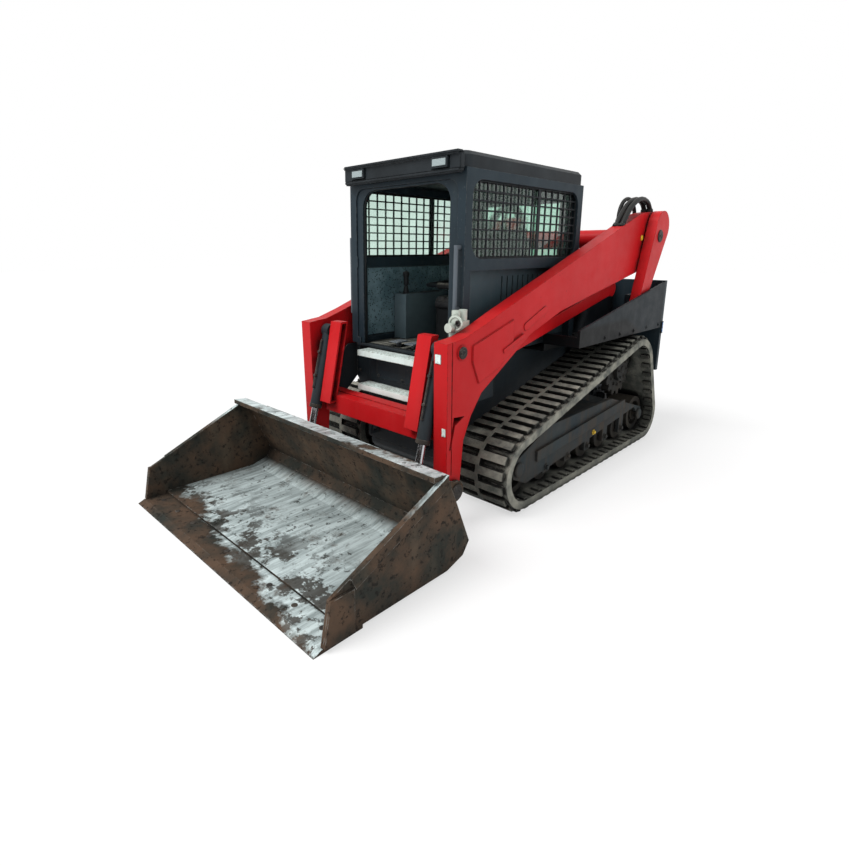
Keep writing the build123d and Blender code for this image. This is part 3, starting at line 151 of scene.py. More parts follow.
# Main frame: a welded plate tub with the engine in it, its four tie-down lugs and the bay walls behind the cab.
# It is painted dark slate and dulled by dust and oil, with a bolted cover on its front between the steps.
def tone(red, green, blue):
    """A colour written as 0 to 255 for each channel, as the shaders take it."""
    channels = [c / 255 for c in (red, green, blue)]
    return (*[c / 12.92 if c <= 0.04045 else ((c + 0.055) / 1.055) ** 2.4 for c in channels], 1.0)


def new_group(name, inputs, outputs):
    tree = bpy.data.node_groups.new(name, "ShaderNodeTree")
    for socket in inputs:
        tree.interface.new_socket(socket, in_out="INPUT", socket_type="NodeSocketFloat")
    for socket, kind in outputs:
        tree.interface.new_socket(socket, in_out="OUTPUT", socket_type="NodeSocket" + kind)
    return tree, tree.nodes.new("NodeGroupInput").outputs, tree.nodes.new("NodeGroupOutput").inputs


def ranged(tree, value, low, high, to_low=0.0, to_high=1.0):
    inputs = {"Value": value, "From Min": low, "From Max": high, "To Min": to_low, "To Max": to_high}
    return put(tree, "MapRange", inputs).outputs[0]


def plus(tree, first, second):
    return put(tree, "Math", {0: first, 1: second}, operation="ADD").outputs[0]


def mixed(tree, factor, first, second):
    return put(tree, "Mix", {0: factor, 6: first, 7: second}, data_type="RGBA").outputs[2]


def object_place(tree):
    return put(tree, "TexCoord").outputs["Object"]


def split(tree, vector):
    return put(tree, "SeparateXYZ", {0: vector}).outputs


def face_up(tree):
    """How far a face looks up: 1 on top, 0 upright, -1 underneath."""
    return split(tree, put(tree, "NewGeometry").outputs["Normal"])["Z"]


def noise(tree, scale, detail=5.0, rough=0.6, vector=None):
    vector = vector or object_place(tree)
    inputs = {"Vector": vector, "Scale": scale, "Detail": detail, "Roughness": rough}
    return put(tree, "TexNoise", inputs).outputs[0]


# Chipped edges: where the rounded normal departs from the flat one, broken up by noise
edge_wear, given, made = new_group(
    "edge_wear", ("Radius", "Breakup"), (("Mask", "Float"), ("Normal", "Vector"))
)
rounded = put(edge_wear, "Bevel", {"Radius": given["Radius"]}, samples=4)
flat_normal = put(edge_wear, "NewGeometry").outputs["Normal"]
facing = put(edge_wear, "VectorMath", {0: rounded.outputs[0], 1: flat_normal}, operation="DOT_PRODUCT")
edge = ranged(edge_wear, facing.outputs["Value"], 0.995, 0.86)
chips = ranged(edge_wear, noise(edge_wear, given["Breakup"]), 0.46, 0.6)
edge_wear.links.new(times(edge_wear, edge, chips), made["Mask"])
edge_wear.links.new(rounded.outputs[0], made["Normal"])

# Settled dust: on upward faces and thicker near the ground, in soft patches
dust_fall, given, made = new_group("dust_fall", ("Amount", "Scale"), (("Mask", "Float"),))
place = object_place(dust_fall)
low_down = ranged(dust_fall, split(dust_fall, place)["Z"], 1.1, 0.1)
lying = total(dust_fall, ranged(dust_fall, face_up(dust_fall), 0.2, 0.9), times(dust_fall, low_down, 0.7))
patches = ranged(dust_fall, noise(dust_fall, given["Scale"], vector=place), 0.32, 0.72)
dust_fall.links.new(times(dust_fall, times(dust_fall, lying, patches), given["Amount"]), made["Mask"])

# Corner shade and grime: painted shade, with some oil and dirt, darkening where faces meet and in hollows, streaked
# or even
corner_shade_and_grime, given, made = new_group(
    "corner_shade_and_grime", ("Reach", "Scale", "Open", "Shut", "Even"), (("Mask", "Float"),)
)
open_air = put(corner_shade_and_grime, "AmbientOcclusion", {"Distance": given["Reach"]}, samples=4)
shut_in = ranged(corner_shade_and_grime, open_air.outputs["AO"], given["Open"], given["Shut"])
streaks = ranged(corner_shade_and_grime, noise(corner_shade_and_grime, given["Scale"]), 0.25, 0.65)
streaks = total(corner_shade_and_grime, streaks, given["Even"])
corner_shade_and_grime.links.new(times(corner_shade_and_grime, shut_in, streaks), made["Mask"])

# Rain streaks: dust drawn down upright faces, long in height and fine across
rain_streak, given, made = new_group("rain_streak", ("Amount", "Fineness"), (("Mask", "Float"),))
fine = put(rain_streak, "CombineXYZ", {0: given["Fineness"], 1: given["Fineness"], 2: 1.6})
drawn = put(rain_streak, "VectorMath", {0: object_place(rain_streak), 1: fine.outputs[0]}, operation="MULTIPLY")
runs = ranged(rain_streak, noise(rain_streak, 1.0, 4.0, 0.55, drawn.outputs[0]), 0.5, 0.72)
lean = put(rain_streak, "Math", {0: face_up(rain_streak)}, operation="ABSOLUTE").outputs[0]
upright = ranged(rain_streak, lean, 0.7, 0.3)
rain_streak.links.new(times(rain_streak, times(rain_streak, runs, upright), given["Amount"]), made["Mask"])


def place_group(tree, group, **inputs):
    node = tree.nodes.new("ShaderNodeGroup")
    node.node_tree = group
    for key, value in inputs.items():
        node.inputs[key].default_value = value
    return node.outputs


def bumped(tree, strength, distance, height, normal=None):
    relief = put(tree, "Bump", {"Strength": strength, "Distance": distance, "Height": height})
    if normal is not None:
        tree.links.new(normal, relief.inputs["Normal"])
    return relief.outputs[0]


def surfaced(material, tree, inputs):
    """Ends a material with its one surface and hands it back."""
    surface = put(tree, "BsdfPrincipled", inputs)
    put(tree, "OutputMaterial", {"Surface": surface.outputs[0]})
    return material


def painted_steel(
    name, paint, faded, bare, dusty, rough=0.42, wear=0.8, dust=0.5, shade_and_grime=0.7, reach=0.05, streak=0.35, shine=0.2,
    shade_band=None,
):
    """Sprayed steel plate: faded patches, chipped edges, dust on top, streaks, and painted shade with grime in its
    corners.

    Painted shade blackens it below a band line, its last argument: a height, where its fall to the rear starts and
    ends, and that fall.
    """
    material, tree = new_material(name)
    edges = place_group(tree, edge_wear, Radius=0.006, Breakup=38.0)
    fallen = place_group(tree, dust_fall, Amount=dust, Scale=4.0)["Mask"]
    corners = place_group(tree, corner_shade_and_grime, Reach=reach, Scale=9.0, Open=0.9, Shut=0.35, Even=0.0)["Mask"]
    washed = place_group(tree, rain_streak, Amount=streak, Fineness=18.0)["Mask"]
    sun_faded = ranged(tree, noise(tree, 2.3), 0.35, 0.75)
    specks = ranged(tree, noise(tree, 55.0, 3.0), 0.66, 0.72)
    chipped = total(tree, times(tree, edges["Mask"], wear), times(tree, specks, 0.35 * wear))
    colour = mixed(tree, sun_faded, tone(*paint), tone(*faded))
    colour = mixed(tree, total(tree, fallen, washed), colour, tone(*dusty))
    # Painted shade with some grime: corners and hollows darken towards near black
    colour = mixed(tree, times(tree, corners, shade_and_grime), colour, tone(18, 16, 15))
    colour = mixed(tree, chipped, colour, tone(*bare))
    # Painted shade: near black below a line that falls towards the rear
    if shade_band:
        height, fall_start, fall_end, fall = shade_band
        place = split(tree, object_place(tree))
        raised = plus(tree, place["Z"], ranged(tree, place["X"], fall_start, fall_end, 0.0, fall))
        shaded_low = ranged(tree, raised, height + 0.015, height - 0.02)
        colour = mixed(tree, times(tree, shaded_low, 0.9), colour, tone(7, 8, 9))
    sheen = ranged(tree, noise(tree, 12.0), 0.2, 0.8, rough - 0.08, rough + 0.1)
    gloss = total(tree, sheen, times(tree, total(tree, fallen, washed), 0.35))
    relief = bumped(tree, 0.12, 0.002, noise(tree, 140.0, 2.0), edges["Normal"])
    return surfaced(material, tree, {
        "Base Color": colour, "Roughness": gloss, "Normal": relief, "Metallic": times(tree, chipped, 0.5),
        "Specular IOR Level": shine,
    })


def dress(material, *nodes):
    for node in nodes:
        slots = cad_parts[node].data.materials
        slots.clear()
        slots.append(material)


def new_piece(name, form, body, material, smooth=False):
    """A finished mesh as a piece of the object, riding on its body."""
    mesh = bpy.data.meshes.new(name)
    bmesh.ops.recalc_face_normals(form, faces=form.faces[:])
    form.to_mesh(mesh)
    form.free()
    mesh.materials.append(material)
    mesh.polygons.foreach_set("use_smooth", [smooth] * len(mesh.polygons))
    piece = bpy.data.objects.new(name, mesh)
    bpy.context.scene.collection.objects.link(piece)
    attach(piece, body)
    return piece


def ring_of(form, middle, across, other, radius, sides):
    """Adds a ring of points round a middle, in the plane of across and other."""
    turns = [2 * math.pi * k / sides for k in range(sides)]
    return [form.verts.new(middle + (across * math.cos(t) + other * math.sin(t)) * radius) for t in turns]


def skin(form, rings, closed=False):
    """Joins rings into a surface that is capped at both ends or, closed, runs back into its first ring."""
    for low, high in zip(rings, rings[1:] + rings[:1] if closed else rings[1:]):
        for k in range(len(low)):
            form.faces.new((low[k - 1], low[k], high[k], high[k - 1]))
    if not closed:
        form.faces.new(rings[0][::-1])
        form.faces.new(rings[-1])


def turned(form, profile, start, axis, sides=24):
    """Adds a turned form: profile rows are (distance along the axis, radius)."""
    axis = Vector(axis).normalized()
    across = axis.orthogonal().normalized()
    other = axis.cross(across)
    skin(form, [ring_of(form, Vector(start) + axis * d, across, other, r, sides) for d, r in profile])


def hex_bolt(form, place, axis, size):
    turned(form, ((0.0, 1.5 * size), (0.25 * size, 1.5 * size)), place, axis, 20)
    start = Vector(place) + Vector(axis) * 0.25 * size
    turned(form, ((0.0, size), (0.75 * size, size), (0.95 * size, 0.85 * size)), start, axis, 6)


def block(form, low, high, edge):
    """Adds a block between two corners with rounded edges."""
    low, high = Vector(low), Vector(high)
    size = high - low
    seat = Matrix.Translation((low + high) / 2) @ Matrix.Diagonal((*size, 1.0))
    made = bmesh.ops.create_cube(form, size=1.0, matrix=seat)
    edges = {e for v in made["verts"] for e in v.link_edges}
    bmesh.ops.bevel(form, geom=list(edges), offset=edge, segments=2, affect="EDGES")


frame_paint = painted_steel(
    "frame_paint", (26, 34, 40), (36, 45, 51), (88, 86, 80), (66, 64, 58), rough=0.55, dust=0.4, streak=0.2
)
dress(frame_paint, "main_frame", "engine_bay", "tie_down_lugs")
engine_iron = painted_steel("engine_iron", (44, 46, 48), (60, 60, 58), (110, 106, 100), (84, 78, 68), rough=0.65)
dress(engine_iron, "engine_block")
zinc = painted_steel("zinc", (150, 150, 146), (120, 118, 112), (170, 168, 160), (110, 98, 82), rough=0.45)

TUB_FACE = 0.470
COVER_HALF, COVER_LOW, COVER_HIGH, COVER_THICK = 0.250, 0.690, 0.845, 0.005
COVER_BOLT, COVER_BOLT_Y, COVER_INSET = 0.008, (-0.225, 0.0, 0.225), 0.02
front_cover = bmesh.new()
block(front_cover, (TUB_FACE, -COVER_HALF, COVER_LOW), (TUB_FACE + COVER_THICK, COVER_HALF, COVER_HIGH), 0.0015)
for bolt_y in COVER_BOLT_Y:
    for bolt_z in (COVER_LOW + COVER_INSET, COVER_HIGH - COVER_INSET):
        hex_bolt(front_cover, (TUB_FACE + COVER_THICK, bolt_y, bolt_z), (1, 0, 0), COVER_BOLT)
new_piece("front_cover", front_cover, "machine", frame_paint)


# Mud guards: a wall across the gap between the tub and each track, and a cheek along the belt's inner side.
# Cut from thin sheet, welded at the corner, painted with the frame and held by four bolts a side.
def prism(form, outline, ends, spot, edge=0.0):
    """Adds a plate from a flat outline, placed by spot(u, v, end), with softened edges where edge is given."""
    rows = [[form.verts.new(spot(u, v, end)) for u, v in outline] for end in ends]
    faces = [form.faces.new(rows[0]), form.faces.new(rows[1][::-1])]
    for a in range(len(outline)):
        faces.append(form.faces.new((rows[0][a - 1], rows[1][a - 1], rows[1][a], rows[0][a])))
    bmesh.ops.recalc_face_normals(form, faces=faces)
    if edge:
        edges = list({e for f in faces for e in f.edges})
        bmesh.ops.bevel(form, geom=edges, offset=edge, segments=2, affect="EDGES", clamp_overlap=True)


GUARD_BACK, GUARD_FACE, GUARD_IN, GUARD_OUT = 0.404, 0.412, 0.522, 0.530
GUARD_ROOT, GUARD_KNEE, GUARD_TOP, GUARD_EDGE = 0.3295, 0.660, 0.897, 0.002
GUARD_WALL = (
    (GUARD_ROOT, 0.540), (0.440, 0.540), (GUARD_OUT, GUARD_KNEE), (GUARD_OUT, GUARD_TOP), (GUARD_ROOT, GUARD_TOP),
)
GUARD_CHEEK = (
    (GUARD_BACK, GUARD_KNEE), (0.560, 0.520), (0.590, 0.520), (0.590, 0.800), (0.500, GUARD_TOP),
    (GUARD_BACK, GUARD_TOP),
)
GUARD_BOLT, GUARD_BOLT_SPOTS = 0.009, [(y, z) for y in (0.352, 0.490) for z in (0.860, 0.700)]
mud_guards = bmesh.new()
for side in (-1, 1):
    prism(mud_guards, GUARD_WALL, (GUARD_BACK, GUARD_FACE), lambda y, z, x: (x, side * y, z), GUARD_EDGE)
    prism(mud_guards, GUARD_CHEEK, (GUARD_IN, GUARD_OUT), lambda x, z, y: (x, side * y, z), GUARD_EDGE)
    for bolt_y, bolt_z in GUARD_BOLT_SPOTS:
        hex_bolt(mud_guards, (GUARD_FACE, side * bolt_y, bolt_z), (1, 0, 0), GUARD_BOLT)
new_piece("mud_guards", mud_guards, "machine", frame_paint)


# Belly pan: the folded steel tray that closes the tub from below, with a wear lip across its front.
# Bent from thick sheet, painted with the frame and held up by two rows of bolts.
# Its dark plate is put where the view under the hull falls into shade, and stands in for that shade
PAN_HALF, PAN_FOOT, PAN_EDGE = 0.318, 0.165, 0.004
PAN_OUTLINE = (
    (0.466, 0.2505), (0.462, 0.206), (0.430, PAN_FOOT), (-1.560, PAN_FOOT), (-1.600, 0.206), (-1.604, 0.2505),
)
PAN_LIP_LOW, PAN_LIP_HIGH = (0.412, -0.300, 0.126), (0.430, 0.300, PAN_FOOT + 0.010)
PAN_BOLT, PAN_BOLT_X, PAN_BOLT_Y = 0.010, (0.36, -0.06, -0.48, -0.90, -1.32), (-0.27, 0.27)
belly_pan = bmesh.new()
prism(belly_pan, PAN_OUTLINE, (-PAN_HALF, PAN_HALF), lambda x, z, y: (x, y, z), PAN_EDGE)
block(belly_pan, PAN_LIP_LOW, PAN_LIP_HIGH, PAN_EDGE)
for bolt_x in PAN_BOLT_X:
    for bolt_y in PAN_BOLT_Y:
        hex_bolt(belly_pan, (bolt_x, bolt_y, PAN_FOOT), (0, 0, -1), PAN_BOLT)
new_piece("belly_pan", belly_pan, "machine", frame_paint)


# Rear skids: a flame-cut plate on each side of the tub's tail, with a block welded on as its toe.
# Painted with the frame and held to the tub by three bolts a side.
# These dark plates are put where the view past the tub's tail falls into shade, and stand in for that shade
HULL_SIDE, SKID_THICK, SKID_TOE_OUT = 0.330, 0.014, 0.414
SKID_TOE_X, SKID_TOE_Z, SKID_TOE_SUNK, SKID_TOE_EDGE = (-1.812, -1.690), (0.200, 0.300), 0.002, 0.008
SKID_OUTLINE = (
    (-1.600, 0.262), (-1.660, 0.196), (-1.700, 0.182), (-1.850, 0.182), (-1.882, 0.205), (-1.884, 0.330),
    (-1.860, 0.356), (-1.640, 0.356),
)
SKID_BOLT, SKID_BOLT_X, SKID_BOLT_Z = 0.012, (-1.665, -1.735, -1.795), 0.330
skid_face = HULL_SIDE + SKID_THICK
rear_skids = bmesh.new()
for side in (-1, 1):
    prism(rear_skids, SKID_OUTLINE, (HULL_SIDE, skid_face), lambda x, z, y: (x, side * y, z))
    toe_y = sorted((side * (skid_face - SKID_TOE_SUNK), side * SKID_TOE_OUT))
    toe_low, toe_high = zip(SKID_TOE_X, toe_y, SKID_TOE_Z)
    block(rear_skids, toe_low, toe_high, SKID_TOE_EDGE)
    for bolt_x in SKID_BOLT_X:
        hex_bolt(rear_skids, (bolt_x, side * skid_face, SKID_BOLT_Z), (0, side, 0), SKID_BOLT)
new_piece("rear_skids", rear_skids, "machine", frame_paint)


# Undercarriage frames: cut plates with stub axles for the rollers and idlers and a rail welded along each.
# Slate paint under a skin of dried mud; a bolt on each axle's end, capped idler axles and a yellow grease plug.
mud_paint = painted_steel(
    "mud_paint", (30, 40, 45), (42, 53, 57), (84, 76, 66), (82, 70, 58), rough=0.65, dust=0.7, shade_and_grime=0.95,
    reach=0.16, shine=0.14,
)
dress(mud_paint, "track_frames")
PLATE_FACE = 0.766
AXLE_BOLT = 0.016
ROLLERS = 5
IDLER_AXLES = ((0.245, 0.250), (-1.560, 0.215))
IDLER_CAP = ((0.0, 0.046), (0.010, 0.046), (0.016, 0.040), (0.018, 0.020))
PLUG_X, PLUG_Z = -0.745, 0.249
GREASE_PLUG = ((0.0, 0.020), (0.005, 0.020), (0.006, 0.013), (0.016, 0.012), (0.018, 0.008))
roller_low, roller_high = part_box("track_rollers")
roller_z = (roller_low.z + roller_high.z) / 2
roller_r = roller_high.z - roller_z
first_roller, last_roller = roller_high.x - roller_r, roller_low.x + roller_r
axle_bolts = bmesh.new()
grease_plugs = bmesh.new()
for side in (-1, 1):
    outwards = (0, side, 0)
    for i in range(ROLLERS):
        bolt_x = first_roller + (last_roller - first_roller) * i / (ROLLERS - 1)
        hex_bolt(axle_bolts, (bolt_x, side * PLATE_FACE, roller_z), outwards, AXLE_BOLT)
    for axle_x, axle_z in IDLER_AXLES:
        turned(axle_bolts, IDLER_CAP, (axle_x, side * PLATE_FACE, axle_z), outwards, 28)
    turned(grease_plugs, GREASE_PLUG, (PLUG_X, side * PLATE_FACE, PLUG_Z), outwards, 20)
new_piece("axle_bolts", axle_bolts, "machine", mud_paint)
yellow_paint = painted_steel(
    "yellow_paint", (224, 182, 30), (232, 198, 70), (120, 108, 84), (150, 128, 82), dust=0.3
)
new_piece("grease_plugs", grease_plugs, "machine", yellow_paint)


# Rollers, idlers, drive sprocket and final drive: castings with a turned rim, bare where the belt runs on them.
# The rest is rusty brown under mud, and rings of bolts hold the sprocket and the hub cap.
cast_iron = painted_steel(
    "cast_iron", (30, 33, 34), (46, 44, 41), (92, 90, 85), (66, 60, 51), rough=0.62, dust=0.7, reach=0.16,
    shine=0.15,
)
dress(cast_iron, "track_rollers", "track_idlers", "final_drives", "sprockets")
SPROCKET_AXLE = (-1.320, 0.618)
SPROCKET_FACE, HUB_FACE = 0.666, 0.700
BOLT_RINGS = ((SPROCKET_FACE, 0.128, 12, 0.011), (HUB_FACE, 0.068, 6, 0.010))
HUB_PLUG = ((0.0, 0.030), (0.006, 0.028), (0.009, 0.012))
sprocket_bolts = bmesh.new()
for side in (-1, 1):
    for face, ring_r, count, size in BOLT_RINGS:
        for i in range(count):
            turn = 2 * math.pi * i / count
            spot_x = SPROCKET_AXLE[0] + ring_r * math.cos(turn)
            spot_z = SPROCKET_AXLE[1] + ring_r * math.sin(turn)
            hex_bolt(sprocket_bolts, (spot_x, side * face, spot_z), (0, side, 0), size)
    turned(sprocket_bolts, HUB_PLUG, (SPROCKET_AXLE[0], side * HUB_FACE, SPROCKET_AXLE[1]), (0, side, 0), 24)
new_piece("sprocket_bolts", sprocket_bolts, "machine", cast_iron)


# Tracks: endless rubber belts with staggered lugs outside and guide ribs inside, steel cords within.
# The lugs' tops are worn grey and dusty; the grooves between them are painted black as shade along with mud, and
# shut-in faces painted dark as shade.
def worn_rubber(name, worn, dark):
    material, tree = new_material(name)
    edges = place_group(tree, edge_wear, Radius=0.008, Breakup=24.0)
    fallen = place_group(tree, dust_fall, Amount=0.85, Scale=7.0)["Mask"]
    # Ambient occlusion masks for painted shade: the grooves between lugs, and faces shut in more deeply
    shaded_grooves = place_group(tree, corner_shade_and_grime, Reach=0.05, Scale=3.0, Open=0.97, Shut=0.72, Even=1.0)["Mask"]
    shaded = place_group(tree, corner_shade_and_grime, Reach=0.45, Scale=3.0, Open=0.8, Shut=0.4, Even=1.0)["Mask"]
    mottled = ranged(tree, noise(tree, 11.0, 6.0), 0.4, 0.62)
    colour = mixed(tree, mottled, tone(*dark), tone(*worn))
    colour = mixed(tree, times(tree, fallen, 0.75), colour, tone(196, 194, 180))
    # Painted shade: shut-in faces go dark and the grooves near black, along with mud
    colour = mixed(tree, times(tree, shaded, 0.85), colour, tone(30, 34, 33))
    colour = mixed(tree, shaded_grooves, colour, tone(6, 6, 6))
    colour = mixed(tree, times(tree, edges["Mask"], 0.4), colour, tone(150, 150, 142))
    relief = bumped(tree, 0.35, 0.004, noise(tree, 70.0, 6.0), edges["Normal"])
    rough = ranged(tree, mottled, 0.0, 1.0, 0.72, 0.95)
    return surfaced(material, tree, {
        "Base Color": colour, "Roughness": rough, "Normal": relief, "Specular IOR Level": 0.12,
    })


track_rubber = worn_rubber("track_rubber", (136, 136, 126), (72, 76, 73))
dress(track_rubber, "tracks")

BELT_WHEELS = ((0.245, 0.250, 0.175), (-1.320, 0.618, 0.210), (-1.560, 0.215, 0.140))
RIB_PITCH, RIB_FOOT, RIB_TIP, RIB_HIGH, RIB_ROOT = 0.0862, 0.040, 0.026, 0.012, 0.002
RIB_ROWS = ((0.772, 0.828), (0.444, 0.500))


def inner_belt():
    """Runs round the belt's inner face: wheel, start angle of its arc, lengths of the arc and of the run after."""
    leaving = []
    for i, (x, z, r) in enumerate(BELT_WHEELS):
        x1, z1, r1 = BELT_WHEELS[(i + 1) % len(BELT_WHEELS)]
        heading = math.atan2(z1 - z, x1 - x)
        leaving.append(heading - math.pi / 2 + math.asin((r - r1) / math.hypot(x1 - x, z1 - z)))
    runs = []
    for i, (x, z, r) in enumerate(BELT_WHEELS):
        x1, z1, r1 = BELT_WHEELS[(i + 1) % len(BELT_WHEELS)]
        start, end = leaving[i - 1], leaving[i]
        while end < start:
            end += 2 * math.pi
        straight = math.sqrt((x1 - x) ** 2 + (z1 - z) ** 2 - (r - r1) ** 2)
        runs.append((x, z, r, start, r * (end - start), straight))
    return runs


def inner_spot(distance):
    """The point that far round the inner face and the direction out of the belt there."""
    for x, z, r, start, arc, run in inner_belt():
        turn = start + min(distance, arc) / r
        out = Vector((math.cos(turn), 0.0, math.sin(turn)))
        spot = Vector((x, 0.0, z)) + out * r
        if distance <= arc:
            return spot, out
        distance -= arc
        if distance <= run:
            return spot + Vector((-out.z, 0.0, out.x)) * distance, out
        distance -= run
    return spot, out


belt_length = sum(arc + run for *_, arc, run in inner_belt())
rib_count = round(belt_length / RIB_PITCH)
track_ribs = bmesh.new()
for i in range(rib_count):
    spot, out = inner_spot(belt_length * i / rib_count)
    forwards = Vector((-out.z, 0.0, out.x))
    section = [spot + out * RIB_ROOT - forwards * RIB_FOOT / 2, spot + out * RIB_ROOT + forwards * RIB_FOOT / 2]
    section += [spot - out * RIB_HIGH + forwards * RIB_TIP / 2, spot - out * RIB_HIGH - forwards * RIB_TIP / 2]
    for side in (-1, 1):
        for row in RIB_ROWS:
            prism(track_ribs, [(p.x, p.z) for p in section], row, lambda x, z, y: (x, side * y, z))
rib_rubber = worn_rubber("rib_rubber", (70, 70, 66), (38, 39, 38))
new_piece("track_ribs", track_ribs, "machine", rib_rubber)


# Engine hood, rear corner posts and the hinged rear door with its grille.
# Pressed and folded plate in the cab's slate: a bolt at each hood corner, wire mesh and a paddle latch on the door.
slate_paint = painted_steel(
    "slate_paint", (26, 39, 47), (36, 50, 58), (92, 96, 96), (66, 72, 72), rough=0.48, dust=0.25, streak=0.16,
    reach=0.09,
)
dress(slate_paint, "engine_hood", "rear_posts", "rear_door")
HOOD_BOLT, HOOD_INSET = 0.011, 0.05
hood_low, hood_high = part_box("engine_hood")
hood_bolts = bmesh.new()
for end_x in (hood_low.x + HOOD_INSET, hood_high.x - HOOD_INSET):
    for end_y in (hood_low.y + HOOD_INSET, hood_high.y - HOOD_INSET):
        hex_bolt(hood_bolts, (end_x, end_y, hood_high.z), (0, 0, 1), HOOD_BOLT)
new_piece("hood_bolts", hood_bolts, "machine", zinc)

DOOR_INNER, DOOR_OUTER = -1.849, -1.879
GRILLE_HALF, GRILLE_LOW, GRILLE_TALL, GRILLE_PITCH = 0.236, 0.690, 0.470, 0.016
WIRE, WIRE_SIDES = 0.0016, 5
mesh_paint = painted_steel(
    "mesh_paint", (16, 22, 26), (24, 31, 36), (80, 82, 80), (60, 62, 60), rough=0.5, dust=0.15, wear=0.3, streak=0.1
)
door_mesh = bmesh.new()
rows = round(GRILLE_TALL / GRILLE_PITCH)
columns = round(2 * GRILLE_HALF / GRILLE_PITCH)
for i in range(rows + 1):
    start = (DOOR_INNER + WIRE, -GRILLE_HALF, GRILLE_LOW + GRILLE_TALL * i / rows)
    turned(door_mesh, ((0.0, WIRE), (2 * GRILLE_HALF, WIRE)), start, (0, 1, 0), WIRE_SIDES)
for i in range(columns + 1):
    start = (DOOR_INNER + 3 * WIRE, GRILLE_HALF * (2 * i / columns - 1), GRILLE_LOW)
    turned(door_mesh, ((0.0, WIRE), (GRILLE_TALL, WIRE)), start, (0, 0, 1), WIRE_SIDES)
new_piece("door_mesh", door_mesh, "rear_door", mesh_paint)

LATCH = Vector((DOOR_OUTER, 0.265, 0.930))
LATCH_PLATE = ((-0.006, -0.024, -0.060), (0.0, 0.024, 0.060), 0.002)
LATCH_PADDLE = ((-0.014, -0.015, -0.045), (-0.006, 0.015, 0.020), 0.003)
LATCH_LOCK, LOCK_RIM = (-0.006, 0.0, 0.040), ((0.0, 0.010), (0.007, 0.010), (0.008, 0.006))
door_latch = bmesh.new()
for low, high, edge in (LATCH_PLATE, LATCH_PADDLE):
    block(door_latch, LATCH + Vector(low), LATCH + Vector(high), edge)
turned(door_latch, LOCK_RIM, LATCH + Vector(LATCH_LOCK), (-1, 0, 0))
new_piece("door_latch", door_latch, "rear_door", zinc)


# Rear lamps: a moulded housing clipped to the outer edge of each rear post, with a ribbed lens in two halves.
# The housing is black plastic with a fine grain, and dust has settled on the tinted lens.
def moulded_lens(name, colour):
    material, tree = new_material(name)
    fallen = place_group(tree, dust_fall, Amount=0.5, Scale=14.0)["Mask"]
    ribs = put(tree, "TexWave", {"Vector": object_place(tree), "Scale": 45.0}, bands_direction="Z").outputs[0]
    tint = mixed(tree, ranged(tree, ribs, 0.0, 1.0, 0.0, 0.35), tone(*colour), tone(206, 214, 214))
    tint = mixed(tree, fallen, tint, tone(150, 146, 134))
    relief = bumped(tree, 0.4, 0.002, ribs)
    return surfaced(material, tree, {"Base Color": tint, "Normal": relief, "Roughness": 0.2, "Coat Weight": 0.6})


def moulded_plastic(name, colour, rough):
    material, tree = new_material(name)
    edges = place_group(tree, edge_wear, Radius=0.006, Breakup=30.0)
    fallen = place_group(tree, dust_fall, Amount=0.4, Scale=5.0)["Mask"]
    pale = [min(255, c + 18) for c in colour]
    tint = mixed(tree, ranged(tree, noise(tree, 4.0), 0.35, 0.7), tone(*colour), tone(*pale))
    tint = mixed(tree, fallen, tint, tone(70, 72, 70))
    tint = mixed(tree, times(tree, edges["Mask"], 0.3), tint, tone(84, 88, 90))
    relief = bumped(tree, 0.2, 0.0015, noise(tree, 260.0, 2.0), edges["Normal"])
    sheen = ranged(tree, noise(tree, 9.0), 0.2, 0.8, rough - 0.06, rough + 0.1)
    return surfaced(material, tree, {
        "Base Color": tint, "Roughness": sheen, "Normal": relief, "Specular IOR Level": 0.2,
    })


black_plastic = moulded_plastic("black_plastic", (20, 22, 24), 0.55)
dress(black_plastic, "rear_lamps")
LENS_EDGE, LENS_PROUD, LENS_SPLIT = 0.007, 0.003, 0.002
lamp_low, lamp_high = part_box("rear_lamps")
rear_lenses = bmesh.new()
for side in (-1, 1):
    face = side * lamp_high.y
    reach = sorted((face - side * LENS_PROUD, face + side * LENS_PROUD))
    lens_x = (lamp_low.x + LENS_EDGE, lamp_high.x - LENS_EDGE)
    middle = (lamp_low.z + lamp_high.z) / 2
    for low_z, high_z in (
        (lamp_low.z + LENS_EDGE, middle - LENS_SPLIT),
        (middle + LENS_SPLIT, lamp_high.z - LENS_EDGE),
    ):
        block(rear_lenses, (lens_x[0], reach[0], low_z), (lens_x[1], reach[1], high_z), 0.002)
new_piece("rear_lamp_lenses", rear_lenses, "machine", moulded_lens("blue_lens", (96, 150, 214)))


# Side bodies: folded skins over the tracks, each with the welded bracket of its rear link.
# Slate paint with painted shade in black low down, and a row of button-headed screws along the lower edge.
# Painted shade band: its height, where its fall to the rear starts and ends, and by how much it falls
SHADE_BAND = (1.045, -1.15, -1.50, 0.15)
body_paint = painted_steel(
    "body_paint", (17, 25, 30), (25, 34, 40), (80, 82, 80), (54, 56, 54), rough=0.5, dust=0.2, streak=0.16,
    reach=0.14, shine=0.14, shade_band=SHADE_BAND,
)
dress(body_paint, "side_bodies")
BODY_FACE = 0.765
SCREW_X, SCREW_Z = (-1.80, -1.55, -1.30, -1.05, -0.80), 0.940
SCREW_BUTTON = ((0.0, 0.016), (0.002, 0.016), (0.002, 0.010), (0.006, 0.008), (0.008, 0.004))
body_screws = bmesh.new()
for side in (-1, 1):
    for screw_x in SCREW_X:
        turned(body_screws, SCREW_BUTTON, (screw_x, side * BODY_FACE, SCREW_Z), (0, side, 0), 16)
new_piece("body_screws", body_screws, "machine", body_paint)


# Front steps: folded treads of pale plate with raised grip bars pressed across them.
# Painted off-white, scuffed to the metal on the bars.
step_paint = painted_steel(
    "step_paint", (226, 240, 236), (204, 218, 214), (120, 112, 100), (150, 140, 122), rough=0.5, dust=0.4,
    streak=0.2,
)
dress(step_paint, "front_steps")


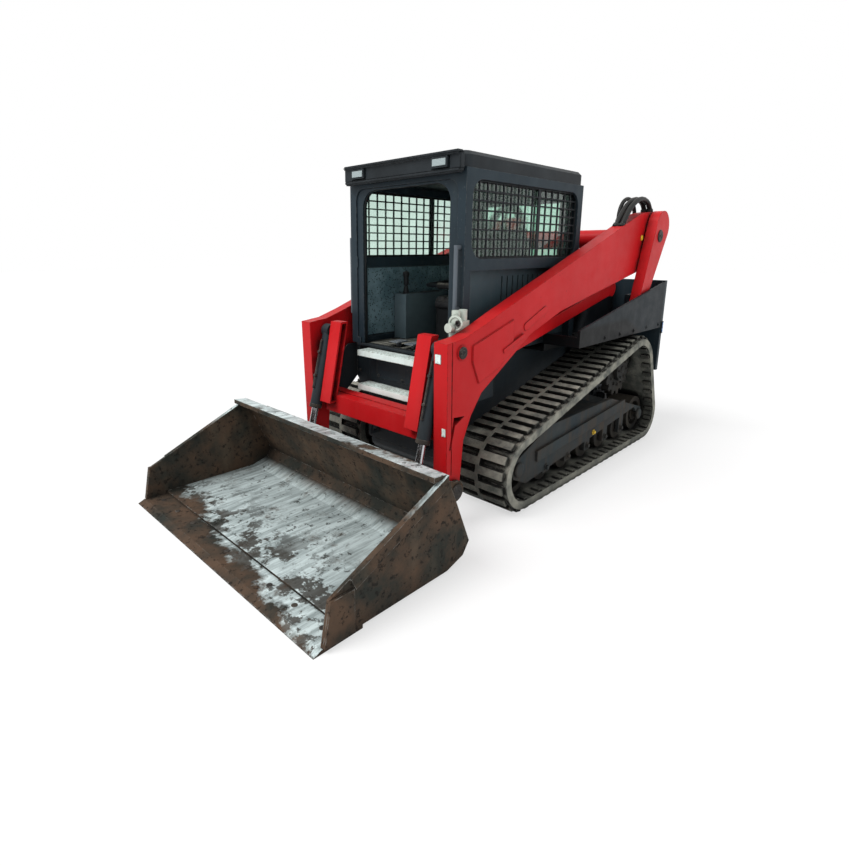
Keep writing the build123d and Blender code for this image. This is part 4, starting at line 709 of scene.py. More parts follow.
# Cab: welded posts, rails and headers, slotted lower panels and welded mesh guards at the sides, an open front.
# Slate paint all over; the doorway is lined by a folded jamb with a rubber seal pressed on its edge.
dress(slate_paint, "cab_frame", "cab_rear_wall")
panel_paint = painted_steel(
    "panel_paint", (50, 66, 73), (64, 80, 86), (92, 96, 96), (84, 92, 92), rough=0.5, dust=0.3, streak=0.3,
    reach=0.08,
)
dress(panel_paint, "cab_side_panels")
dress(mesh_paint, "cab_side_meshes")
handle_paint = painted_steel(
    "handle_paint", (84, 92, 100), (100, 108, 114), (130, 132, 132), (96, 98, 96), rough=0.4, dust=0.2, streak=0.1
)
dress(handle_paint, "grab_handles")
dress(frame_paint, "cab_floor")
JAMB_X, JAMB_OUT, JAMB_IN, JAMB_FOOT, JAMB_TOP = (0.436, 0.472), 0.4300, 0.374, 0.916, 1.934
JAMB_HEAD, JAMB_R, JAMB_BEND = 0.012, 0.110, 12
SEAL_R, SEAL_RISE = 0.008, 0.004
outer_line = [(-JAMB_OUT, JAMB_FOOT), (-JAMB_OUT, JAMB_TOP), (JAMB_OUT, JAMB_TOP), (JAMB_OUT, JAMB_FOOT)]
inner_line = []
for side in (-1, 1):
    bend = []
    for k in range(JAMB_BEND + 1):
        turn = math.pi / 2 * k / JAMB_BEND
        bend_y = JAMB_IN - JAMB_R + JAMB_R * math.cos(turn)
        bend.append((side * bend_y, JAMB_TOP - JAMB_HEAD - JAMB_R + JAMB_R * math.sin(turn)))
    inner_line += [(-JAMB_IN, JAMB_FOOT)] + bend if side < 0 else bend[::-1] + [(JAMB_IN, JAMB_FOOT)]
door_jamb = bmesh.new()
faces = []
for x in JAMB_X:
    outer_ring = [door_jamb.verts.new((x, y, z)) for y, z in outer_line]
    inner_ring = [door_jamb.verts.new((x, y, z)) for y, z in inner_line]
    middle = len(inner_ring) // 2
    door_jamb.faces.new([outer_ring[0], outer_ring[1], *inner_ring[middle - 1::-1]])
    door_jamb.faces.new([outer_ring[1], outer_ring[2], inner_ring[middle], inner_ring[middle - 1]])
    door_jamb.faces.new([outer_ring[2], outer_ring[3], *inner_ring[:middle - 1:-1]])
    faces.append(outer_ring + inner_ring[::-1])
for k in range(len(faces[0])):
    door_jamb.faces.new((faces[0][k - 1], faces[0][k], faces[1][k], faces[1][k - 1]))
new_piece("door_jamb", door_jamb, "machine", slate_paint)


def tube(form, points, radius, sides=10, closed=False):
    """Adds a round bar along a line of points, mitred at its corners."""
    points = [Vector(p) for p in points]
    rings = []
    count = len(points)
    for i, point in enumerate(points):
        before = points[i - 1] if i or closed else point
        after = points[(i + 1) % count] if i + 1 < count or closed else point
        way = ((point - before).normalized() + (after - point).normalized()).normalized()
        across = way.cross(Vector((0, 1, 0)) if abs(way.y) < 0.9 else Vector((1, 0, 0))).normalized()
        rings.append(ring_of(form, point, across, way.cross(across), radius, sides))
    skin(form, rings, closed)


door_seal = bmesh.new()
tube(door_seal, [(sum(JAMB_X) / 2, y, z + SEAL_RISE) for y, z in inner_line], SEAL_R, 8)
new_piece("door_seal", door_seal, "machine", black_plastic, smooth=True)


# Side linings: perforated felt panels on the inner face of the cab's lower side walls, three to a side.
# Pale grey and scuffed, each pushed onto clips behind it.
def felt_lining(name, colour):
    material, tree = new_material(name)
    cells = put(tree, "TexVoronoi", {"Vector": object_place(tree), "Scale": 60.0}).outputs["Distance"]
    holes = ranged(tree, cells, 0.22, 0.3)
    scuffs = ranged(tree, noise(tree, 6.0, 6.0, 0.7), 0.42, 0.62)
    tint = mixed(tree, scuffs, tone(*[c - 34 for c in colour]), tone(*colour))
    tint = mixed(tree, holes, tone(34, 44, 48), tint)
    relief = bumped(tree, 0.3, 0.002, holes)
    return surfaced(material, tree, {
        "Base Color": tint, "Normal": relief, "Roughness": 0.85, "Specular IOR Level": 0.15,
    })


LINING_FACE, LINING_THICK, LINING_FOOT, LINING_TOP = 0.4248, 0.006, 0.960, 1.426
LINING_SPANS = ((-0.780, -0.382), (-0.376, 0.016), (0.022, 0.414))
side_linings = bmesh.new()
for side in (-1, 1):
    lining_y = sorted((side * LINING_FACE, side * (LINING_FACE - LINING_THICK)))
    for near_x, far_x in LINING_SPANS:
        block(side_linings, (near_x, lining_y[0], LINING_FOOT), (far_x, lining_y[1], LINING_TOP), 0.002)
new_piece("side_linings", side_linings, "machine", felt_lining("grey_lining", (112, 136, 144)))


# Foot pedals: two ribbed plates on short stems at the front of the cab floor.
# Cast, painted grey and bolted down through the floor.
PEDAL_X, PEDAL_Y = 0.395, (-0.110, 0.030)
PEDAL_SIZE, PEDAL_RISE, PEDAL_SUNK = Vector((0.110, 0.080, 0.008)), 0.034, 0.002
STEM_HALF_X, STEM_HALF_Y, STEM_SUNK = 0.016, 0.012, 0.001
PEDAL_BARS, BAR_STEP, BAR_LOW, BAR_SIZE = 5, 0.019, Vector((0.012, 0.008, 0.006)), Vector((0.008, 0.064, 0.005))
floor_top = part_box("cab_floor")[1].z
foot_pedals = bmesh.new()
for pedal_y in PEDAL_Y:
    block(
        foot_pedals, (PEDAL_X - STEM_HALF_X, pedal_y - STEM_HALF_Y, floor_top - STEM_SUNK),
        (PEDAL_X + STEM_HALF_X, pedal_y + STEM_HALF_Y, floor_top + PEDAL_RISE), 0.003,
    )
    low = Vector((PEDAL_X - PEDAL_SIZE.x / 2, pedal_y - PEDAL_SIZE.y / 2, floor_top + PEDAL_RISE - PEDAL_SUNK))
    block(foot_pedals, low, low + PEDAL_SIZE, 0.003)
    for k in range(PEDAL_BARS):
        bar = low + BAR_LOW + Vector((BAR_STEP * k, 0.0, 0.0))
        block(foot_pedals, bar, bar + BAR_SIZE, 0.001)
new_piece("foot_pedals", foot_pedals, "machine", handle_paint)


# Roof: moulded in black, with a visor along its front edge that frames the work lamps.
# The visor is a moulding of its own, screwed to the roof's front face.
roof_plastic = moulded_plastic("roof_plastic", (18, 24, 28), 0.5)
dress(roof_plastic, "cab_roof")
VISOR_BACK, VISOR_FACE, VISOR_LIP, VISOR_HALF = 0.4925, 0.534, 0.552, 0.484
VISOR_FOOT, VISOR_EDGE, VISOR_GAP, VISOR_LAP, VISOR_STEP = 1.958, 2.074, 0.003, 0.012, 0.004
lamp_low, lamp_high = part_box("work_lamps")
LAMP_WIDE = 0.118
lamp_in = lamp_high.y - LAMP_WIDE
roof_visor = bmesh.new()
block(
    roof_visor, (VISOR_BACK - VISOR_STEP, -VISOR_HALF, lamp_high.z + VISOR_GAP),
    (VISOR_LIP, VISOR_HALF, VISOR_EDGE), 0.0105,
)
block(
    roof_visor, (VISOR_BACK, -VISOR_HALF, VISOR_FOOT), (VISOR_FACE, VISOR_HALF, lamp_low.z - VISOR_GAP), 0.009
)
for low_y, high_y in (
    (-VISOR_HALF, -lamp_high.y - VISOR_GAP),
    (-lamp_in + VISOR_GAP, lamp_in - VISOR_GAP),
    (lamp_high.y + VISOR_GAP, VISOR_HALF),
):
    block(
        roof_visor, (VISOR_BACK, low_y, lamp_low.z - VISOR_LAP),
        (VISOR_FACE - VISOR_STEP, high_y, lamp_high.z + VISOR_LAP), 0.004,
    )
new_piece("roof_visor", roof_visor, "machine", roof_plastic)


# Cab glass: green-tinted panes, one set in the rear wall and two behind the mesh at each side.
# The side panes slide past each other in black rubber channels on all four edges.
def tinted_glass(name, tint):
    material, tree = new_material(name)
    smears = ranged(tree, noise(tree, 5.0), 0.4, 0.8, 0.02, 0.12)
    colour = mixed(tree, ranged(tree, noise(tree, 3.0), 0.4, 0.7), tone(*tint), tone(*[c - 8 for c in tint]))
    return surfaced(material, tree, {
        "Base Color": colour, "Roughness": smears, "Transmission Weight": 0.95, "IOR": 1.45,
    })


green_glass = tinted_glass("green_glass", (216, 242, 230))
dress(green_glass, "cab_rear_glass")
WINDOW_X, WINDOW_Z = (-0.790, 0.420), (1.500, 1.935)
PANE_SPLIT, PANE_LAP, PANE_THICK, CHANNEL, CHANNEL_PROUD = -0.306, 0.020, 0.004, 0.014, 0.002
PANES = ((WINDOW_X[0], PANE_SPLIT + PANE_LAP, 0.440), (PANE_SPLIT - PANE_LAP, WINDOW_X[1], 0.450))
side_panes = bmesh.new()
pane_channels = bmesh.new()
for side in (-1, 1):
    for near_x, far_x, near_y in PANES:
        glass_y = sorted((side * near_y, side * (near_y + PANE_THICK)))
        gasket_y = sorted((side * (near_y - CHANNEL_PROUD), side * (near_y + PANE_THICK + CHANNEL_PROUD)))
        low = (near_x + CHANNEL / 2, glass_y[0], WINDOW_Z[0] + CHANNEL / 2)
        block(side_panes, low, (far_x - CHANNEL / 2, glass_y[1], WINDOW_Z[1] - CHANNEL / 2), 0.001)
        for x0, x1, z0, z1 in (
            (near_x, near_x + CHANNEL, *WINDOW_Z),
            (far_x - CHANNEL, far_x, *WINDOW_Z),
            (near_x + CHANNEL, far_x - CHANNEL, WINDOW_Z[0], WINDOW_Z[0] + CHANNEL),
            (near_x + CHANNEL, far_x - CHANNEL, WINDOW_Z[1] - CHANNEL, WINDOW_Z[1]),
        ):
            block(pane_channels, (x0, gasket_y[0], z0), (x1, gasket_y[1], z1), 0.002)
new_piece("side_panes", side_panes, "machine", green_glass)
new_piece("pane_channels", pane_channels, "machine", black_plastic)


# Floor mat: a ribbed rubber sheet laid loose on the cab floor in front of the seat.
# Moulded in one piece, black and scuffed grey along its ribs.
MAT_LONG, MAT_HALF, MAT_THICK = 0.440, 0.380, 0.005
MAT_RIBS, MAT_RIB_HALF, MAT_RIB_INSET, MAT_RIB_SUNK, MAT_RIB_PROUD = 14, 0.008, 0.02, 0.001, 0.002
mat_top = floor_top + MAT_THICK
floor_mat = bmesh.new()
block(floor_mat, (0.0, -MAT_HALF, floor_top), (MAT_LONG, MAT_HALF, mat_top), 0.002)
for i in range(MAT_RIBS):
    rib_y = MAT_HALF * (2 * (i + 0.5) / MAT_RIBS - 1)
    rib_low = (MAT_RIB_INSET, rib_y - MAT_RIB_HALF, mat_top - MAT_RIB_SUNK)
    rib_high = (MAT_LONG - MAT_RIB_INSET, rib_y + MAT_RIB_HALF, mat_top + MAT_RIB_PROUD)
    block(floor_mat, rib_low, rib_high, 0.001)
mat_rubber = worn_rubber("mat_rubber", (58, 58, 55), (36, 37, 36))
new_piece("floor_mat", floor_mat, "machine", mat_rubber)


# Work lamps: square housings under the roof's front edge, each with a clear ribbed lens in a bezel.
# The housing is moulded in black, its lens pale and a little dusty.
dress(roof_plastic, "work_lamps")
BEZEL, BEZEL_PROUD, CLEAR_PROUD = 0.008, 0.004, 0.003
work_lenses = bmesh.new()
for side in (-1, 1):
    across = sorted((side * (lamp_high.y - BEZEL), side * (lamp_high.y - LAMP_WIDE + BEZEL)))
    block(
        work_lenses, (lamp_high.x - BEZEL_PROUD, across[0], lamp_low.z + BEZEL),
        (lamp_high.x + CLEAR_PROUD, across[1], lamp_high.z - BEZEL), 0.003,
    )
clear_lens = moulded_lens("clear_lens", (132, 148, 150))
new_piece("work_lamp_lenses", work_lenses, "machine", clear_lens)


# Seat: foam pads under sewn vinyl on a moulded base and back shell, which carries the lap bar's two pins.
# Each pad swells like a filled cover, stays flat underneath and is drawn in along its seams.
def vinyl(name, colour):
    material, tree = new_material(name)
    cells = put(tree, "TexVoronoi", {"Vector": object_place(tree), "Scale": 420.0}).outputs["Distance"]
    fallen = place_group(tree, dust_fall, Amount=0.35, Scale=6.0)["Mask"]
    tint = mixed(tree, ranged(tree, noise(tree, 7.0), 0.3, 0.7), tone(*colour), tone(*[c + 16 for c in colour]))
    tint = mixed(tree, fallen, tint, tone(112, 108, 98))
    relief = bumped(tree, 0.25, 0.001, cells)
    sheen = ranged(tree, noise(tree, 20.0), 0.3, 0.7, 0.42, 0.58)
    return surfaced(material, tree, {
        "Base Color": tint, "Roughness": sheen, "Normal": relief, "Specular IOR Level": 0.25,
    })


seat_vinyl = vinyl("seat_vinyl", (28, 29, 31))
dress(black_plastic, "seat_base")
VOXEL = 0.006
PAD_EDGE, PAD_EDGE_STEPS = 0.018, 3
SWELL_FRAMES, SWELL_PRESSURE, SWELL_CAP = 20, 4.0, 0.014
SEAMS = (-0.120, -0.040, 0.040, 0.120)
SEAM_DEEP, SEAM_WIDE = 0.011, 0.009


def swollen_pad(name, outline, half_wide, base_way, face_way, node):
    """A pad from its side outline, swollen by pressure, held on its base_way side, seamed on its face_way side."""
    form = bmesh.new()
    prism(form, outline, (-half_wide, half_wide), lambda x, z, y: (x, y, z))
    bmesh.ops.bevel(form, geom=form.edges[:], offset=PAD_EDGE, segments=PAD_EDGE_STEPS, affect="EDGES")
    pad = new_piece(name, form, "machine", seat_vinyl, smooth=True)
    remesh = pad.modifiers.new("remesh", "REMESH")
    remesh.mode = "VOXEL"
    remesh.voxel_size = VOXEL
    remesh.use_smooth_shade = True
    graph = bpy.context.evaluated_depsgraph_get()
    fine = bpy.data.meshes.new_from_object(pad.evaluated_get(graph))
    pad.modifiers.clear()
    pad.data = fine
    fine.materials.clear()
    fine.materials.append(seat_vinyl)
    start = [v.co.copy() for v in fine.vertices]
    depth = [c.dot(Vector(base_way)) for c in start]
    held = pad.vertex_groups.new(name="held")
    held.add([i for i, d in enumerate(depth) if d > max(depth) - VOXEL], 1.0, "REPLACE")
    cloth = pad.modifiers.new("cloth", "CLOTH")
    cloth.settings.use_pressure = True
    cloth.settings.uniform_pressure_force = SWELL_PRESSURE
    cloth.settings.effector_weights.gravity = 0.0
    cloth.settings.vertex_group_mass = "held"
    cloth.settings.quality = 4
    cloth.point_cache.frame_end = SWELL_FRAMES
    for step in range(1, SWELL_FRAMES + 1):
        bpy.context.scene.frame_set(step)
    swollen = pad.evaluated_get(bpy.context.evaluated_depsgraph_get()).to_mesh()
    ends = [v.co.copy() for v in swollen.vertices]
    pad.modifiers.clear()
    bpy.context.scene.frame_set(1)
    for vertex, first, last in zip(fine.vertices, start, ends):
        move = last - first
        vertex.co = first + move * min(1.0, SWELL_CAP / max(move.length, 1e-6))
    front = Vector(face_way)
    normals = [v.normal.copy() for v in fine.vertices]
    for vertex, normal in zip(fine.vertices, normals):
        facing_out = max(0.0, normal.dot(front))
        pull = sum(math.exp(-(((vertex.co.y - seam) / SEAM_WIDE) ** 2)) for seam in SEAMS)
        vertex.co -= front * SEAM_DEEP * facing_out * min(1.0, pull)
    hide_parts(node)


PAD_SHRINK, CUSHION_DIP = 0.014, 1.6
BACK_LEAN, BACK_THICK = 0.080, 0.110
SHELL_THICK, SHELL_GAP = 0.012, 0.001
cushion_low, cushion_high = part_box("seat_cushion")
swollen_pad(
    "seat_cushion_pad",
    (
        (cushion_low.x + PAD_SHRINK, cushion_low.z),
        (cushion_high.x - PAD_SHRINK, cushion_low.z),
        (cushion_high.x - PAD_SHRINK, cushion_high.z - CUSHION_DIP * PAD_SHRINK),
        (cushion_low.x + PAD_SHRINK, cushion_high.z - PAD_SHRINK),
    ),
    cushion_high.y - PAD_SHRINK, (0, 0, -1), (0, 0, 1), "seat_cushion",
)
back_low, back_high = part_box("seat_back")
lean = Vector((BACK_LEAN, back_high.z - back_low.z)).normalized()
back_way, front_way = (-lean.y, 0.0, -lean.x), (lean.y, 0.0, lean.x)
swollen_pad(
    "seat_back_pad",
    (
        (back_high.x - BACK_THICK + SHELL_THICK, back_low.z + PAD_SHRINK),
        (back_high.x - PAD_SHRINK, back_low.z + PAD_SHRINK),
        (back_low.x + BACK_THICK - PAD_SHRINK, back_high.z - PAD_SHRINK),
        (back_low.x + SHELL_THICK, back_high.z - PAD_SHRINK),
    ),
    cushion_high.y - PAD_SHRINK, back_way, front_way, "seat_back",
)
LAP_PIVOT = (-0.470, 1.330)
LAP_PIN_R, LAP_PIN_IN, LAP_PIN_OUT = 0.0135, 0.205, 0.2545
LAP_PIN = ((0.0, LAP_PIN_R), (LAP_PIN_OUT - LAP_PIN_IN, LAP_PIN_R))
SHELL_PARTS = ((0.0, 0.16, 0.200), (0.16, 0.86, 0.228), (0.86, 0.99, 0.190))
seat_shell = bmesh.new()
foot = Vector((back_high.x - BACK_THICK, 0.0, back_low.z))
rise = Vector((-BACK_LEAN, 0.0, back_high.z - back_low.z))
for low_share, high_share, half in SHELL_PARTS:
    low, high = foot + rise * low_share, foot + rise * high_share
    section = [(end.x + SHELL_GAP, end.z) for end in (low, high)]
    section += [(end.x + SHELL_THICK, end.z) for end in (high, low)]
    prism(seat_shell, section, (-half, half), lambda x, z, y: (x, y, z))
for side in (-1, 1):
    turned(seat_shell, LAP_PIN, (LAP_PIVOT[0], side * LAP_PIN_IN, LAP_PIVOT[1]), (0, side, 0), 20)
new_piece("seat_shell", seat_shell, "machine", black_plastic)


# Controls: a stick on each console with a moulded grip and trigger above a rubber bellows.
# The consoles are grey mouldings, with rocker switches pressed into their tops behind the sticks.
console_plastic = moulded_plastic("console_plastic", (74, 90, 96), 0.6)
dress(console_plastic, "control_consoles")
BELLOWS_R, NECK_R, BELLOWS_FOLDS, FOLD_STEP = 0.026, 0.020, 5, 0.010
GRIP = (
    (0.058, 0.011), (0.064, 0.017), (0.074, 0.019), (0.086, 0.0175), (0.098, 0.0195), (0.110, 0.018),
    (0.122, 0.020), (0.134, 0.0235), (0.148, 0.0235), (0.156, 0.019), (0.159, 0.010),
)
TRIGGER_LOW, TRIGGER_HIGH = Vector((0.012, -0.006, 0.132)), Vector((0.0255, 0.006, 0.146))
SWITCHES, SWITCH_START, SWITCH_STEP, SWITCH_SUNK = 4, 0.08, 0.045, 0.002
SWITCH_SIZE = Vector((0.034, 0.044, 0.007))
stick_low, stick_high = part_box("joysticks")
console_low, console_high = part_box("control_consoles")
stick_y = stick_high.y - BELLOWS_R
stick_x = (stick_low.x + stick_high.x) / 2
stick_profile = [(0.0, BELLOWS_R)]
for i in range(BELLOWS_FOLDS):
    fold = FOLD_STEP * i
    stick_profile += [(0.004 + fold, BELLOWS_R - 0.0025 * i), (0.009 + fold, NECK_R - 0.002 * i)]
stick_profile += GRIP
control_sticks = bmesh.new()
console_switches = bmesh.new()
for side in (-1, 1):
    foot = Vector((stick_x, side * stick_y, stick_low.z))
    turned(control_sticks, stick_profile, foot, (0, 0, 1), 28)
    block(control_sticks, foot + TRIGGER_LOW, foot + TRIGGER_HIGH, 0.002)
    for i in range(SWITCHES):
        switch_x = console_low.x + SWITCH_START + SWITCH_STEP * i
        low = Vector((switch_x, side * stick_y - SWITCH_SIZE.y / 2, console_high.z - SWITCH_SUNK))
        block(console_switches, low, low + SWITCH_SIZE, 0.002)
sticks = new_piece("control_sticks", control_sticks, "machine", black_plastic, smooth=True)
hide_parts("joysticks")
switch_plastic = moulded_plastic("switch_plastic", (58, 60, 62), 0.4)
new_piece("console_switches", console_switches, "machine", switch_plastic)


# Lap bar: bent steel tube that swings down over the seat on the two pins of its shell.
# Painted near black, with a ribbed foam sleeve pushed over its cross bar.
dress(mesh_paint, "lap_bar")
LAP_BAR_R, SLEEVE_R, SLEEVE_HALF, SLEEVE_END, SLEEVE_RINGS = 0.013, 0.022, 0.150, 0.006, 12
lap_low, lap_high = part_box("lap_bar")
lap_cross = Vector((lap_high.x - LAP_BAR_R, 0.0, lap_low.z + LAP_BAR_R))
lap_sleeve = bmesh.new()
ring_long = 2 * (SLEEVE_HALF - SLEEVE_END) / SLEEVE_RINGS
sleeve = [(0.0, LAP_BAR_R), (0.002, SLEEVE_R - 0.003)]
for i in range(SLEEVE_RINGS):
    start = SLEEVE_END + ring_long * i
    end = start + ring_long
    sleeve += [(start, SLEEVE_R), (end - 0.004, SLEEVE_R), (end - 0.002, SLEEVE_R - 0.002)]
sleeve += [(2 * SLEEVE_HALF, LAP_BAR_R)]
turned(lap_sleeve, sleeve, lap_cross - Vector((0.0, SLEEVE_HALF, 0.0)), (0, 1, 0), 28)
foam = worn_rubber("sleeve_foam", (46, 46, 46), (28, 28, 29))
new_piece("lap_sleeve", lap_sleeve, "lap_bar", foam, smooth=True)


# Lift linkage: red rear links outside the boom and red control links inside it, cut plate welded into boxes.
# Each upper pin has a flanged head with a bolt beside its middle.
red_paint = painted_steel(
    "red_paint", (182, 14, 20), (198, 26, 32), (70, 36, 32), (178, 70, 68), rough=0.42, dust=0.32, wear=0.9,
    shade_and_grime=0.95, reach=0.1, streak=0.06, shine=0.16,
)
dress(red_paint, "rear_links", "control_links")
dark_steel = painted_steel(
    "dark_steel", (34, 33, 33), (52, 48, 45), (120, 116, 110), (92, 82, 70), rough=0.5, dust=0.4
)


def pin_head(form, place, axis, radius):
    """A pin's flanged head with a bolt beside its middle."""
    rim = ((0.0, radius), (0.005, radius), (0.008, 0.9 * radius), (0.008, 0.45 * radius), (0.005, 0.4 * radius))
    turned(form, rim, place, axis, 28)
    side = Vector(axis)
    hex_bolt(form, Vector(place) + side * 0.008 + Vector((0.66 * radius, 0.0, 0.0)), axis, 0.16 * radius)


BOOM_PIVOT, LINK_FACE, LINK_HEAD_R = (-1.698, 1.655), 0.738, 0.048
link_pins = bmesh.new()
for side in (-1, 1):
    pin_head(link_pins, (BOOM_PIVOT[0], side * LINK_FACE, BOOM_PIVOT[1]), (0, side, 0), LINK_HEAD_R)
new_piece("link_pin_heads", link_pins, "rear_links", dark_steel)


# Hydraulic cylinders: painted barrels with a gland nut at the mouth, and ground and plated rods.
# A steel pipe is clipped along each tilt barrel from its port to the gland.
dress(frame_paint, "lift_barrels", "tilt_barrels")
plated, tree = new_material("plated_rod")
scratches = noise(tree, 90.0, 3.0)
surfaced(plated, tree, {
    "Base Color": mixed(tree, scratches, tone(196, 198, 202), tone(176, 178, 180)),
    "Roughness": ranged(tree, scratches, 0.3, 0.7, 0.14, 0.3), "Metallic": 1.0,
})
dress(plated, "lift_rods", "tilt_rods")
# Body, distance from the middle, pins at base and tip, radius of barrel and bore, and the tip's lead on the mouth
RAMS = (
    ("lift_barrels", 0.385, (-1.050, 0.600), (-1.331, 1.404), 0.042, 0.027, 0.070),
    ("tilt_barrels", 0.500, (0.680, 1.015), (0.8584, 0.3404), 0.040, 0.024, 0.160),
)
NUT_LONG, NUT_PROUD, NUT_SIDES = 0.028, 0.003, 24
PIPE_R, PIPE_SPAN, PIPE_SUNK = 0.006, (0.075, 0.400), 0.004
CLIP_SHARES, CLIP_R, CLIP_PROUD = (0.25, 0.75), 0.010, 0.002
for body, ram_y, base, tip, barrel_r, bore_r, pocket in RAMS:
    reach = Vector((tip[0] - base[0], 0.0, tip[1] - base[1]))
    way = reach.normalized()
    across = Vector((0, 1, 0))
    other = way.cross(across)
    mouth = reach.length - pocket
    nut = (
        (mouth - NUT_LONG, barrel_r - 0.002), (mouth - NUT_LONG + 0.002, barrel_r + NUT_PROUD),
        (mouth - 0.003, barrel_r + NUT_PROUD), (mouth - 0.0005, barrel_r - 0.001),
        (mouth - 0.0005, bore_r), (mouth - NUT_LONG, bore_r),
    )
    fittings = bmesh.new()
    for side in (-1, 1):
        foot = Vector((base[0], side * ram_y, base[1]))
        rings = [ring_of(fittings, foot + way * d, across, other, r, NUT_SIDES) for d, r in nut]
        skin(fittings, rings, closed=True)
        if body == "tilt_barrels":
            out = Vector((-way.z, 0.0, way.x))
            sunk, rail = out * (barrel_r - PIPE_SUNK), out * (barrel_r + 2 * PIPE_R)
            near, far = [foot + way * distance for distance in PIPE_SPAN]
            tube(fittings, (near + sunk, near + rail, far + rail, far + sunk), PIPE_R)
            for share in CLIP_SHARES:
                spot = near.lerp(far, share)
                tube(fittings, (spot + sunk, spot + rail + out * (PIPE_R + CLIP_PROUD)), CLIP_R)
    new_piece(body + "_fittings", fittings, body, dark_steel)


# Boom: welded box beams with a doubler at the knee, the rear cross tube, the front cross-member and its guards.
# Red paint over weld beads; pin heads, two blank plates riveted to the left leg and a yellow plug at each rear end.
dress(red_paint, "boom_arms", "boom_cross_tube", "boom_front_frame")
ARM_FACE = 0.650
KNEE_PLATE = ((0.205, 1.150), (0.589, 1.040), (0.589, 0.952), (0.526, 0.822), (0.340, 0.884), (0.200, 0.968))
BEAD_R, BEAD_STEP = 0.0042, 0.012
TILT_PIN, TILT_FACE, TILT_HEAD_R = (0.680, 1.015), 0.656, 0.034
CROSS_TUBE, CROSS_R, CROSS_END, CROSS_STEPS = (-1.290, 1.630), 0.070, 0.553, 40
WELD_PROUD, WELD_SIDES = 0.001, 8


def bead_line(corners):
    """Points along a closed weld, a little uneven as one bead follows the last."""
    line = []
    for a, b in zip(corners, corners[1:] + corners[:1]):
        steps = max(1, round((b - a).length / BEAD_STEP))
        for k in range(steps):
            point = a.lerp(b, k / steps)
            line.append(point + Vector((0, 0, 0.0009 * math.sin(9.0 * len(line)))))
    return line


arm_welds = bmesh.new()
boom_pins = bmesh.new()
for side in (-1, 1):
    knee = [Vector((x, side * (ARM_FACE + WELD_PROUD), z)) for x, z in KNEE_PLATE]
    tube(arm_welds, bead_line(knee), BEAD_R, WELD_SIDES, closed=True)
    seam = []
    for k in range(CROSS_STEPS):
        turn = 2 * math.pi * k / CROSS_STEPS
        out = Vector((math.cos(turn), 0.0, math.sin(turn))) * (CROSS_R + WELD_PROUD)
        seam.append(Vector((CROSS_TUBE[0], side * CROSS_END, CROSS_TUBE[1])) + out)
    tube(arm_welds, seam, BEAD_R, WELD_SIDES, closed=True)
    pin_head(boom_pins, (TILT_PIN[0], side * TILT_FACE, TILT_PIN[1]), (0, side, 0), TILT_HEAD_R)
new_piece("arm_welds", arm_welds, "boom", red_paint, smooth=True)
new_piece("boom_pin_heads", boom_pins, "boom", dark_steel)

LEG_TOP, LEG_LOW = Vector((0.800, 0.0, 1.075)), Vector((0.782, 0.0, 0.250))
PLATES = ((0.585, 0.988, 0.040, 0.050), (0.628, 0.585, 0.026, 0.045))
PLATE_SUNK, PLATE_PROUD = 0.002, 0.004
RIVET, RIVET_INSET = ((0.0, 0.004), (0.001, 0.0036), (0.0018, 0.002)), 0.008
blank_plates = bmesh.new()
leg_way = (LEG_LOW - LEG_TOP).normalized()
for plate_y, plate_z, wide, high in PLATES:
    front = LEG_TOP + leg_way * ((LEG_TOP.z - plate_z) / abs(leg_way.z))
    block(
        blank_plates, (front.x - PLATE_SUNK, plate_y - wide / 2, plate_z - high / 2),
        (front.x + PLATE_PROUD, plate_y + wide / 2, plate_z + high / 2), 0.001,
    )
    for end in (-1, 1):
        spot = (front.x + PLATE_PROUD, plate_y, plate_z + end * (high / 2 - RIVET_INSET))
        turned(blank_plates, RIVET, spot, (1, 0, 0), 12)
new_piece("blank_plates", blank_plates, "boom", step_paint)

ARM_PLUG, ARM_PLUG_X, ARM_PLUG_Z = ((0.0, 0.022), (0.004, 0.021), (0.007, 0.014), (0.008, 0.005)), -1.560, 1.640
boom_plugs = bmesh.new()
for side in (-1, 1):
    turned(boom_plugs, ARM_PLUG, (ARM_PLUG_X, side * ARM_FACE, ARM_PLUG_Z), (0, side, 0), 20)
new_piece("boom_plugs", boom_plugs, "boom", yellow_paint)


# Hydraulic pipes: bent steel tube that arches over the rear of each arm, with a collar where it enters the boom.
# Black paint, with zinc union nuts on the inner pair above their clamps.
pipe_paint = painted_steel(
    "pipe_paint", (22, 24, 25), (34, 36, 37), (100, 98, 94), (90, 84, 74), rough=0.45, dust=0.3
)
dress(pipe_paint, "boom_pipes")
PIPE_X, PIPE_Y, CLAMP_TOP = (-1.386, -1.686), 0.525, 1.755
UNION_NUT = ((0.0, 0.018), (0.002, 0.022), (0.022, 0.022), (0.026, 0.018), (0.034, 0.0165))
pipe_nuts = bmesh.new()
for side in (-1, 1):
    for nut_x in PIPE_X:
        turned(pipe_nuts, UNION_NUT, (nut_x, side * PIPE_Y, CLAMP_TOP), (0, 0, 1), 6)
new_piece("pipe_nuts", pipe_nuts, "boom", zinc)

